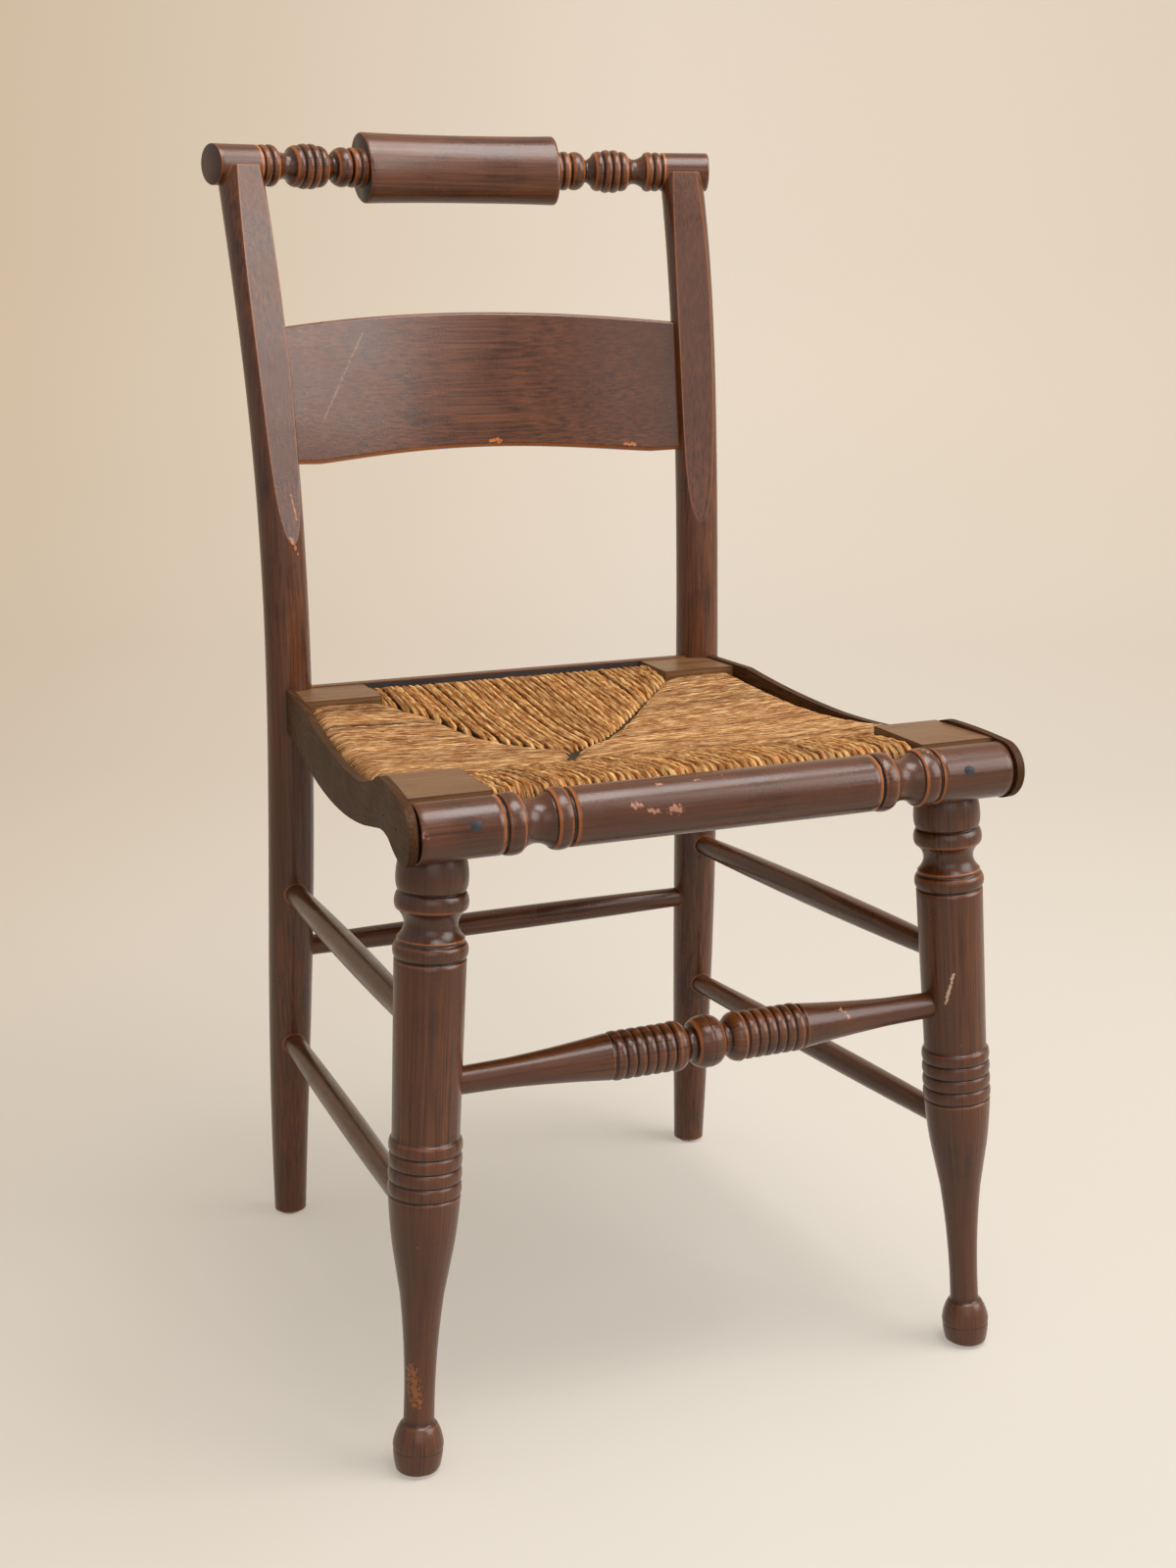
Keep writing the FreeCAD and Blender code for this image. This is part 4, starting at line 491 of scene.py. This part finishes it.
def slat_point(across, up, out):
    """A point of the slat: across the chair, up the leaning board and out from its middle.

    The board's middle line is an arc of a circle, and the board leans back.
    """
    deep = np.sqrt(slat_bend ** 2 - across ** 2) - slat_bend + out
    back = slat_back + deep * math.cos(slat_lean) + up * math.sin(slat_lean)
    height = slat_up - deep * math.sin(slat_lean) + up * math.cos(slat_lean)
    return np.stack(np.broadcast_arrays(across, back, height), -1)


across = np.linspace(-slat_half, slat_half, 141)[:, None]
high = slat_high + slat_crown * (1 - (across / slat_half) ** 2)
low = -slat_high + slat_arch * np.clip(1 - (across / slat_arch_half) ** 2, 0, None) ** 1.2
quarter = np.linspace(0, np.pi / 2, 7)
ups, outs, worn = [], [], []
for edge, up_side, out_side, turn in (
    (high, 1, 1, quarter), (low, -1, 1, quarter[::-1]),
    (low, -1, -1, quarter), (high, 1, -1, quarter[::-1]),
):
    rubbed = 1.0 if edge is low and out_side < 0 else 0.45
    ups.append(edge - up_side * slat_ease * (1 - np.cos(turn)))
    outs.append(out_side * (slat_thick / 2 - slat_ease * (1 - np.sin(turn))) + 0 * edge)
    worn.append(rubbed * np.sin(2 * turn) ** 2 + 0 * edge)
points = slat_point(across, np.concatenate(ups, 1), np.concatenate(outs, 1))
ends = np.broadcast_to(points[[0, -1]].mean(1, keepdims=True), points[[0, -1]].shape)
points = np.concatenate([ends[:1], points, ends[1:]])
worn = np.pad(np.concatenate(worn, 1), ((1, 1), (0, 0)))
uv = np.stack([points[..., 0] * 0.001, points[..., 2] * 0.001 + 0.2 * (points[..., 1] > 0)], -1)
slat = grid_mesh("bent_slat", points, True, uv, {"worn": worn, "sunk": np.zeros((1, 1))})
slat_paint = paint("red_brown_slat_paint", grain_axis="X", **red_brown)
scratched(slat_paint, (-96.3, 197.0, 715.8), (-136.6, 174.6, 650.7), 1.0, pale_scratch, 0.14)
scratched(slat_paint, (7.9, 190.5, 629.5), (15.0, 190.5, 630.0), 2.2, orange_scratch, 0.9)
scratched(slat_paint, (119.0, 174.5, 624.6), (127.0, 172.0, 624.6), 1.8, orange_scratch, 0.9)
slat.data.materials.append(slat_paint)
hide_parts("back_slat")
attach(slat, "root")

# Front stretcher: hardwood, turned with a taper, a row of rings and a neck on both sides
# of a ball, which has a fine line cut round it. Its plain ends go into the bored legs.
stretcher_low, stretcher_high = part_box("front_stretcher")
half = stretcher_high.x * 1000
end_length, cove_radius, ball_half, ball_rise = 14.0, 11.6, 10.5, 6.2
spool = [
    ("soft", 70.0, 12.2, 15.6), ("step", 1.2, 14.7), ("line", 1.0, 14.7),
    *[("bead", 7.15, 16.6, 14.7)] * 6,
    ("bead", 4.0, 16.6, 16.8), ("soft", 8.0, 15.7, 11.4), ("line", 4.8, cove_radius),
]
plain_length = half - end_length - sum(step[1] for step in spool) - ball_half
plain_steps = [("line", end_length, 9.1), ("line", plain_length, 9.8)]
left_length, left_radius = walk(8.9, plain_steps + spool)
ball_steps = np.linspace(0.1, ball_half - 0.2, 24)
middle = left_length[-1] + ball_half
left_radius = np.append(left_radius, np.full(24, cove_radius))
left_length = np.append(left_length, left_length[-1] + ball_steps)
whole_length = np.concatenate([left_length, 2 * middle - left_length[::-1]])
whole_radius = np.concatenate([left_radius, left_radius[::-1]])
share = np.clip(np.abs(whole_length - middle) / ball_half, 0, 1)
whole_radius = whole_radius + ball_rise * np.sqrt(1 - share ** 2.2)
whole_radius = whole_radius - 0.5 * np.exp(-((whole_length - middle) / 0.5) ** 2)
height = (stretcher_low.z + stretcher_high.z) * 500
back = (stretcher_low.y + stretcher_high.y) * 500
left_end, right_end = (-half, back, height), (half, back, height)
stretcher = turned("ringed_stretcher", (whole_length, whole_radius), left_end, right_end)
stretcher_paint = paint("red_brown_stretcher_paint", **red_brown)
scratched(stretcher_paint, (101.0, -229.8, 273.9), (105.2, -233.5, 268.9), 1.6, bare_chip, 0.9)
stretcher.data.materials.append(stretcher_paint)
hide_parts("front_stretcher")
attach(stretcher, "root")

# Plain stretchers: thin hardwood rails, turned with a slight swell and pushed into bored
# legs and posts. They keep the solids' shape.
side_rail_paint = paint("red_brown_side_rail_paint", grain_axis="Y", **red_brown)
for name in ("upper_left", "upper_right", "lower_left", "lower_right"):
    dress("side_stretcher_" + name, side_rail_paint)
rear_rail_paint = paint("red_brown_rear_rail_paint", grain_axis="X", **red_brown)
dress("rear_stretcher", rear_rail_paint)

# Front roll: hardwood, turned with a plain middle, beads and coves, sawn flat behind and
# screwed to the front blocks. Its paint is chipped to the bare wood in a few places.
roll_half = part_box("front_roll")[1].x * 1000
roll_before, roll_up, roll_flat, roll_middle_half = 6.0, 437.0, 2.9, 109.0
side_steps = [
    ("step", 0.3, 17.6), ("line", 1.7, 17.6), ("step", 0.2, 18.2), ("bead", 11.6, 20.0, 18.2),
    ("step", 0.2, 17.2), ("line", 1.0, 17.2), ("soft", 18.5, 14.0, 17.2), ("line", 1.0, 17.2),
    ("step", 0.2, 18.2), ("bead", 10.6, 20.0, 18.2), ("step", 0.2, 17.6), ("line", 1.7, 17.6),
    ("step", 0.3, 19.1),
]
plain_end = roll_half - roll_middle_half - sum(step[1] for step in side_steps)
end_steps = [("step", 0.4, 19.0), ("line", plain_end - 0.4, 19.0)]
half_length, half_radius = walk(18.6, [*end_steps, *side_steps, ("line", roll_middle_half, 19.1)])
whole_length = np.concatenate([half_length, 2 * roll_half - half_length[::-1][1:]])
whole_radius = np.concatenate([half_radius, half_radius[::-1][1:]])
left_end, right_end = ((side * roll_half, -roll_before - feet_line, roll_up) for side in (-1, 1))
roll = turned("turned_roll", (whole_length, whole_radius), left_end, right_end,
              around=96, flat_back=roll_flat - feet_line)
roll_paint = paint("red_brown_roll_paint", chips=0.9, **red_brown)
for chip, size in (
    ((-69, -259.7, 444.5), 2.4), ((-49.8, -250.3, 454.3), 1.5), ((-42.4, -261.1, 439.5), 3.0),
    ((-22.3, -250.6, 454.2), 1.7), ((-57.4, -261.1, 439.8), 2.2), ((-210.5, -260.3, 440.0), 2.6),
):
    start, end = np.add(chip, (-size, 0, 0.4)), np.add(chip, (size, 0, -0.4))
    scratched(roll_paint, start, end, size * 0.95, bare_chip, 0.85)
roll.data.materials.append(roll_paint)
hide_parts("front_roll")
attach(roll, "root")

# Corner blocks and casings: squares of olive-brown varnished wood in the seat's corners,
# with thin boards bradded over their outer sides, brown at the sides and nearly black
# behind. The edges of the blocks and of the side casings are darker.
olive = dict(
    base=(0.170, 0.078, 0.027), ripple=((0.090, 0.038, 0.014), (0.25, 0.120, 0.046)),
    worn_colour=(0.34, 0.17, 0.065), gloss=0.36, shine=0.25,
)
casing_brown = dict(
    base=(0.050, 0.019, 0.0055), ripple=((0.024, 0.0095, 0.0035), (0.120, 0.050, 0.015)),
    worn_colour=(0.22, 0.090, 0.027), gloss=0.5, shine=0.1,
)
rear_dark = dict(
    base=(0.028, 0.024, 0.026), ripple=((0.016, 0.014, 0.015), (0.060, 0.046, 0.040)),
    worn_colour=(0.16, 0.09, 0.05), gloss=0.34,
)
block_varnish = paint("olive_block_varnish", grain_axis="X", **olive)
# The blocks and the side casings are darker along their sharp edges.
block_varnish = edge_coloured(block_varnish, (0.06, 0.028, 0.014), 0.7)
casing_varnish = paint("brown_casing_varnish", grain_axis="Y", **casing_brown)
casing_varnish = edge_coloured(casing_varnish, (0.045, 0.020, 0.011), 0.75)
for name in ("front_left", "front_right", "rear_left", "rear_right"):
    dress("corner_block_" + name, block_varnish)
for hand in ("left", "right"):
    dress("side_casing_" + hand, casing_varnish)
rear_casing_paint = edge_coloured(paint("dark_rear_casing_paint", grain_axis="X", **rear_dark))
dress("rear_casing", rear_casing_paint)

# Lists and dowels: bare wood inside the seat, which the rush is woven round and which
# ties the rear blocks to the posts. It is seen only where the rush is open.
bare = dict(
    base=(0.36, 0.24, 0.13), ripple=((0.26, 0.16, 0.08), (0.46, 0.33, 0.19)),
    worn_colour=(0.5, 0.38, 0.24), gloss=0.55, chips=0.0,
)
bare_x = paint("bare_wood_across", grain_axis="X", **bare)
bare_y = paint("bare_wood_along", grain_axis="Y", **bare)
for name in ("seat_list_front", "seat_list_rear"):
    dress(name, bare_x)
for name in ("seat_list_left", "seat_list_right", "post_dowels"):
    dress(name, bare_y)

# Rush seat: strands of twisted dry rush, woven over and round the four lists so that they
# meet in seams. Those in front are the plumpest, and those at the sides are thin and
# flat. The middle seam joins the front one at its fourth point and the rear one at its fifth.
seam_front = np.array([
    (-156, 68), (-147, 84), (-116, 97), (-61, 110), (-20, 108),
    (14, 103), (80, 92), (140, 78), (156, 68),
], float)
seam_middle = np.array([(-61, 110), (-50, 130), (-28, 170)], float)
seam_rear = np.array([
    (-121, 332), (-93, 294), (-73, 230), (-50, 190), (-28, 170),
    (0, 192), (42, 240), (80, 286), (121, 332),
], float)


def casing_inner(back):
    """Half width inside the side casings, at a distance behind the line of the front feet.

    It falls evenly from the front of the frame to the rear, less the casing's thickness.
    """
    front_half, rear_half, front_edge, depth, casing = 218.0, 184.0, -6.0, 377.0, 6.4
    return front_half - (front_half - rear_half) * (back - front_edge) / depth - casing


def sagging(across, back, middle, edge):
    """Height of a face of the rush, from its heights along the middle and along the edges.

    A curve of the fifth degree is fitted through each row of heights. The two are mixed
    by the third power of the distance from the centre line, as a share of the half width.
    """
    marks = np.array([0.0, 33.0, 95.0, 190.0, 294.0, 350.0, 382.0])
    fit_middle = np.polynomial.Polynomial.fit(marks, middle, 5)
    fit_edge = np.polynomial.Polynomial.fit(marks, edge, 5)
    share = np.clip(np.abs(across) / casing_inner(back), 0, 1) ** 3
    return fit_middle(back) * (1 - share) + fit_edge(back) * share


def rush_top(across, back):
    """Height of the upper face: a sag that is deepest in the middle."""
    middle = (455.5, 455.5, 445.5, 435.0, 438.5, 446.5, 447.5)
    edge = (456.5, 456.5, 448.0, 439.8, 443.0, 448.5, 449.0)
    return sagging(across, back, middle, edge)


def rush_under(across, back):
    """Height of the lower face, which follows the lists at the edges and rises between."""
    middle = (424.0, 424.5, 424.5, 421.0, 420.5, 416.5, 416.0)
    edge = (424.0, 424.0, 413.0, 407.0, 409.5, 416.0, 416.0)
    return sagging(across, back, middle, edge)


def strands(name, inner, outer, radius, plump, material, seed):
    """A panel of strands: each runs over the seat, round its list and back underneath.

    A strand's middle line goes from a dip at the seam straight to a shoulder on top, turns
    round the list in a half ellipse that is a little fuller, and returns below. Its outline
    is an oval, plump times as high as wide, with two lobes that turn as it runs on.
    """
    top_steps, turn_steps, under_steps, around = 22, 9, 10, 10
    nose, dip, dip_length, lay, swell_length = 14.0, 5.0, 5.0, 26.0, 17.0
    deep = radius * 0.9
    random = np.random.default_rng(seed)
    count = len(inner)
    way = outer - inner
    reach = np.linalg.norm(way, axis=1, keepdims=True)
    unit = way / reach
    sideways = np.stack([-unit[:, 1], unit[:, 0]], -1)
    shoulder = outer - unit * nose
    share = np.linspace(0, 1, top_steps)
    wobble = random.normal(0, 0.35, (count, 1))
    wobble = wobble + np.cumsum(random.normal(0, 0.09, (count, top_steps)), axis=1)
    top = inner[:, None] + (shoulder - inner)[:, None] * share[None, :, None]
    top = top + sideways[:, None] * wobble[..., None]
    top_height = rush_top(top[..., 0], top[..., 1]) - deep
    top_height = top_height - np.exp(-share * reach / dip_length) * dip
    top_height = top_height + random.normal(0, 0.35, (count, 1))
    high = rush_top(shoulder[:, 0], shoulder[:, 1]) - deep
    low = rush_under(shoulder[:, 0], shoulder[:, 1]) + deep
    angle = np.linspace(0, np.pi, turn_steps + 2)[1:-1]
    bulge = np.sin(angle)[None, :, None] ** 0.8
    round_out = shoulder[:, None] + unit[:, None] * (nose - radius) * bulge
    round_height = ((high + low) / 2)[:, None] + ((high - low) / 2)[:, None] * np.cos(angle)[None]
    share = np.linspace(0, 1, under_steps)
    under = shoulder[:, None] + (inner - shoulder)[:, None] * share[None, :, None]
    under_height = rush_under(under[..., 0], under[..., 1]) + deep
    flat = np.concatenate([top, round_out, under], axis=1)
    height = np.concatenate([top_height, round_height, under_height], axis=1)
    line = np.concatenate([flat - [0, feet_line], height[..., None]], axis=-1)
    ahead = np.gradient(line, axis=1)
    ahead /= np.linalg.norm(ahead, axis=-1, keepdims=True)
    side = np.pad(sideways, ((0, 0), (0, 1)))[:, None]
    side = side - ahead * (side * ahead).sum(-1, keepdims=True)
    side /= np.linalg.norm(side, axis=-1, keepdims=True)
    third = np.cross(ahead, side)
    steps = np.diff(line, axis=1, prepend=line[:, :1])
    length = np.cumsum(np.linalg.norm(steps, axis=-1), axis=1)
    angle = np.linspace(0, 2 * np.pi, around, endpoint=False)
    twist = length / lay * 2 * np.pi + random.uniform(0, 6.3, (count, 1))
    lobes = 1 + 0.10 * np.cos(2 * (angle[None, None] - twist[..., None]))
    waves = np.sin(length / swell_length + random.uniform(0, 6.3, (count, 1)))
    swell = radius * (1 + 0.05 * waves)
    swell[:, [0, -1]] *= 0.05
    ring = np.cos(angle)[:, None] * side[..., None, :]
    ring = ring + np.sin(angle)[:, None] * third[..., None, :] * plump
    points = line[:, :, None] + swell[..., None, None] * lobes[..., None] * ring
    index = np.arange(points.size // 3).reshape(points.shape[:-1])
    right = np.roll(index, -1, axis=2)
    quads = np.stack([index[:, :-1], index[:, 1:], right[:, 1:], right[:, :-1]], -1).reshape(-1, 4)
    about = angle / (2 * np.pi) + np.arange(count)[:, None, None] * 3.7
    uv = np.stack(np.broadcast_arrays(length[..., None] * 0.001, about), -1)
    # Painted shade: each strand darkens towards its sides, where it lies against its neighbours.
    painted_gap_shade = 0.12 + 0.88 * np.abs(np.sin(angle)) ** 0.8
    tones_and_gap_shade = random.uniform(0.55, 1, (count, 1, 1)) * painted_gap_shade
    panel = quad_mesh(name, points, quads, uv, {"tone_and_shade": tones_and_gap_shade})
    panel.data.materials.append(material)
    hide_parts("rush_seat")
    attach(panel, "root")


def rush_finish(name, dark, middle, light):
    """Dry rush: golden, with long fibres, pale flecks, dirt that differs by strand and painted
    shade.

    A noise drawn out along the strand runs from the dark colour through the middle one to
    the light one. A finer noise adds light flecks. The mark "tone_and_shade" holds each
    strand's dirt and the painted shade on its sides, and it scales the colour.
    """
    material, tree, shader = bare_finish(name)
    place = add(tree, "TexCoord", {}).outputs["UV"]
    fibre_place = add(tree, "Mapping", {"Vector": place, "Scale": (55, 9, 1)}).outputs[0]
    fleck_place = add(tree, "Mapping", {"Vector": place, "Scale": (130, 19, 1)}).outputs[0]
    fibres = noise(tree, fibre_place, 1.0, 5, 0.7)
    colour = colours_along(tree, fibres, (0.32, dark), (0.47, middle), (0.70, light))
    flecks = spread(tree, noise(tree, fleck_place, 1.0, 2), 0.625, 0.68, 0.0, 0.75)
    colour = mixed(tree, colour, light, flecks)
    tone_and_shade = add(tree, "Attribute", {}, attribute_name="tone_and_shade").outputs["Fac"]
    shade = spread(tree, tone_and_shade, 0.0, 1.0, 0.03, 1.12)
    relief = {"Strength": 0.5, "Distance": 0.0005, "Height": fibres}
    feed(tree, shader, {
        "Base Color": vector(tree, "SCALE", {0: colour, "Scale": shade}).outputs[0],
        "Roughness": 0.6,
        "Specular IOR Level": 0.16,
        "Normal": add(tree, "Bump", relief).outputs[0],
    })
    return material


gold_colours = (0.070, 0.018, 0.0035), (0.345, 0.115, 0.020), (0.92, 0.62, 0.26)
fine_colours = (0.075, 0.021, 0.004), (0.30, 0.102, 0.020), (0.88, 0.62, 0.30)
rush_gold = rush_finish("golden_rush", *gold_colours)
rush_fine = rush_finish("fine_side_rush", *fine_colours)
for part, seam, half_row, spacing, list_edge, radius, seed in (
    ("front", seam_front, 151.5, 5.9, 3.6, 3.05, 5),
    ("rear", seam_rear, 117.5, 5.6, 379.4, 2.95, 6),
):
    across = np.arange(-half_row, half_row + 0.5, spacing)
    inner = np.stack([across, np.interp(across, seam[:, 0], seam[:, 1])], -1)
    outer = np.stack([across, np.full_like(across, list_edge)], -1)
    strands("rush_%s_strands" % part, inner, outer, radius, 1.0, rush_gold, seed)
first_row, last_row, side_spacing, side_radius = 68.2, 329, 4.1, 2.35
left_seam = np.concatenate([seam_front[:4], seam_middle[1:], seam_rear[3::-1]])
right_seam = np.concatenate([seam_front[:2:-1], seam_middle[1:], seam_rear[5:]])
for side, hand, seam, seed in ((-1, "left", left_seam, 7), (1, "right", right_seam, 8)):
    back = np.arange(first_row, last_row, side_spacing)
    inner = np.stack([np.interp(back, seam[:, 1], seam[:, 0]), back], -1)
    outer = np.stack([side * casing_inner(back), back], -1)
    strands("rush_%s_strands" % hand, inner, outer, side_radius, 0.8, rush_fine, seed)

# Seat stuffing: dry rush, packed between the two layers of strands and coloured near black
# as painted shade where it shows in the gaps. It is one closed shell a little inside them,
# narrower between the corner blocks, and it closes the gaps.
core_inset, core_front, core_rear = 4.6, 8, 374
front_blocks_end, rear_blocks_start, half_between_front, half_between_rear = 66, 330, 151.0, 117.0
across = np.linspace(-1, 1, 41)
back = np.linspace(core_front, core_rear, 61)
half_width = np.where(back > rear_blocks_start, half_between_rear, casing_inner(back) - 5)
half_width = np.where(back < front_blocks_end, half_between_front, half_width)
wide = across[None] * half_width[:, None]
deep = np.broadcast_to(back[:, None], wide.shape)
upper = np.stack([wide, deep - feet_line, rush_top(wide, deep) - core_inset], -1)
lower = np.stack([wide, deep - feet_line, rush_under(wide, deep) + core_inset], -1)
shell = np.concatenate([upper, lower[:, ::-1]], axis=1)
ends = np.broadcast_to(shell[[0, -1]].mean(1, keepdims=True), shell[[0, -1]].shape)
shell = np.concatenate([ends[:1], shell, ends[1:]])
along, about = (np.linspace(0, 0.4, size) for size in shell.shape[:2])
uv = np.stack(np.broadcast_arrays(along[:, None], about[None]), -1)
core = grid_mesh("rush_core", shell, True, uv, {"tone_and_shade": np.full((1, 1), 0.6)})
# Painted shade: the core's near-black colours stand for the shade between the strands.
core_colours_and_shade = (0.018, 0.009, 0.004), (0.035, 0.018, 0.008), (0.06, 0.033, 0.014)
core.data.materials.append(rush_finish("rush_core_painted_shade", *core_colours_and_shade))
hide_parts("rush_seat")
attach(core, "root")

# Fixings: steel glides knocked into the feet and worn pale, steel screws with blue-grey
# heads that hold the roll, and thin brads that hold the casings. All keep the solids' shape.


def metal(name, colour, rough, metallic):
    """Worn metal, whose colour runs with a fine noise from a darker colour up to its own."""
    material, tree, shader = bare_finish(name)
    place = add(tree, "TexCoord", {}).outputs["Object"]
    dark = (colour[0] * 0.45, colour[1] * 0.42, colour[2] * 0.4)
    stained = colours_along(tree, noise(tree, place, 380, 4), (0.35, dark), (0.7, colour))
    feed(tree, shader, {"Base Color": stained, "Metallic": metallic, "Roughness": rough})
    return material


dress("foot_glides", metal("pale_worn_glide", (0.66, 0.62, 0.54), 0.5, 0.4))
screw_metal = metal("blue_grey_screw", (0.040, 0.042, 0.050), 0.55, 0.2)
dress("roll_screws", screw_metal)
dress("casing_brads", screw_metal)

# The room: a sheet of warm pale paper that lies on the floor and curves up behind the
# chair, lit softly from the right, from above and a little from the front. Its colour holds
# painted light: it gets brighter far off, has painted shade towards both sides, and glows.


def backdrop_finish(name, near_colour_and_light, far_colour_and_light):
    """Matt paper with painted light: brighter and warmer with the distance, with painted
    shade towards both sides.

    The mesh's map holds the distance along the paper and across it. The paper's glow is
    painted light with its own colour, there only for the camera's, glossy and clear rays: it
    brightens the paper and softens the chair's shadow on it, and casts no light.
    """
    material, tree, shader = bare_finish(name)
    place = add(tree, "TexCoord", {}).outputs["UV"]
    along, across, _ = add(tree, "SeparateXYZ", {0: place}).outputs
    # Painted light: the paper gets brighter and warmer with the distance.
    distance = spread(tree, along, -0.8, 3.4)
    colour = colours_along(tree, distance, (0.0, near_colour_and_light), (1.0, far_colour_and_light))
    # Painted shade: the paper darkens towards the left and a little towards the right.
    left_painted_shade, unshaded_middle, right_painted_shade = (0.86, 0.79, 0.69), (1, 1, 1), (0.92, 0.91, 0.88)
    sideways = spread(tree, across, -1.3, 1.3)
    painted_side_shade = colours_along(tree, sideways, (0.0, left_painted_shade), (0.55, unshaded_middle), (1.0, right_painted_shade))
    colour = mixed(tree, colour, painted_side_shade, 1.0, "MULTIPLY")
    path = add(tree, "LightPath", {}).outputs
    rays = {0: path["Is Camera Ray"], 1: path["Is Glossy Ray"]}
    seen = add(tree, "Math", rays, operation="MAXIMUM").outputs[0]
    rays = {0: seen, 1: path["Is Transmission Ray"]}
    # Painted light: the glow brightens the paper for the camera and softens the chair's shadow on
    # it.
    feed(tree, shader, {
        "Base Color": colour,
        "Emission Color": mixed(tree, colour, (0.9, 0.9, 0.9), 1.0, "MULTIPLY"),
        "Emission Strength": add(tree, "Math", rays, operation="MAXIMUM").outputs[0],
        "Roughness": 0.9,
        "Specular IOR Level": 0.1,
    })
    return material


run = np.array([-4.5, -2.0, 0.0, 1.6, 2.3, 2.75, 3.0, 3.08, 3.1, 3.1])
rise = np.array([0.0, 0.0, 0.0, 0.0, 0.06, 0.28, 0.75, 1.4, 2.6, 5.5])
sweep = np.linspace(-6, 6, 25)
paper_turn = math.radians(-23.5)
ground = np.stack(np.broadcast_arrays(
    sweep[None] * math.cos(paper_turn) - run[:, None] * math.sin(paper_turn),
    sweep[None] * math.sin(paper_turn) + run[:, None] * math.cos(paper_turn),
    rise[:, None],
), -1) * 1000
uv = np.stack(np.broadcast_arrays((run + rise)[:, None], sweep[None]), -1)
floor = grid_mesh("studio_paper", ground, False, uv, {})
paper_colours_and_light = (0.372, 0.345, 0.308), (0.438, 0.382, 0.318)
floor.data.materials.append(backdrop_finish("warm_paper_painted_light", *paper_colours_and_light))
floor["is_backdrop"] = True


def soft_light(name, place, aim, width, height, power, colour):
    """A rectangular soft box at a place, in metres, that looks at a point."""
    lamp = bpy.data.lights.new(name, "AREA")
    lamp.shape, lamp.size, lamp.size_y = "RECTANGLE", width, height
    lamp.energy, lamp.color = power, colour
    thing = bpy.data.objects.new(name, lamp)
    scene.collection.objects.link(thing)
    thing.location = place
    thing.rotation_mode = "QUATERNION"
    thing.rotation_quaternion = (Vector(aim) - Vector(place)).to_track_quat("-Z", "Y")


soft_light("window_right", (3.0, -2.2, 2.4), (0, 0, 0.45), 2.8, 2.6, 98, (1.0, 0.985, 0.96))
soft_light("overhead", (0.5, -0.7, 2.7), (0, 0, 0.4), 1.8, 1.2, 50, (1.0, 0.985, 0.965))
soft_light("front_fill", (-0.9, -3.0, 1.7), (0, 0, 0.5), 2.2, 1.8, 14, (1.0, 0.985, 0.965))
world = bpy.data.worlds.new("studio_air")
scene.world = world
world.use_nodes = True
air = world.node_tree.nodes["Background"]
air.inputs["Color"].default_value = (1.0, 0.975, 0.945, 1)
air.inputs["Strength"].default_value = 0.56

# The camera stands where the photo was taken from: before the chair and to its left, a
# little below the crest's height, and turned by the small roll that the photo has.
lens, camera_roll = 64.494, math.radians(0.16)
eye_place = Vector((-0.6047, -1.1765 - feet_line * 0.001, 0.7861))
forward = Vector((0.3867, 0.8877, -0.2497)).normalized()
level = forward.cross(Vector((0, 0, 1))).normalized()
upright = level.cross(forward)
right = level * math.cos(camera_roll) + upright * math.sin(camera_roll)
up = upright * math.cos(camera_roll) - level * math.sin(camera_roll)
camera = bpy.data.cameras.new("photo_camera")
camera.sensor_fit, camera.sensor_width = "HORIZONTAL", 36.0
camera.lens, camera.clip_end = lens, 50
eye = bpy.data.objects.new("photo_camera", camera)
scene.collection.objects.link(eye)
turned_to = Matrix((right, up, -forward)).transposed().to_4x4()
eye.matrix_world = Matrix.Translation(eye_place) @ turned_to
scene.camera = eye
scene.view_settings.view_transform = "Standard"

low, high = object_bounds()
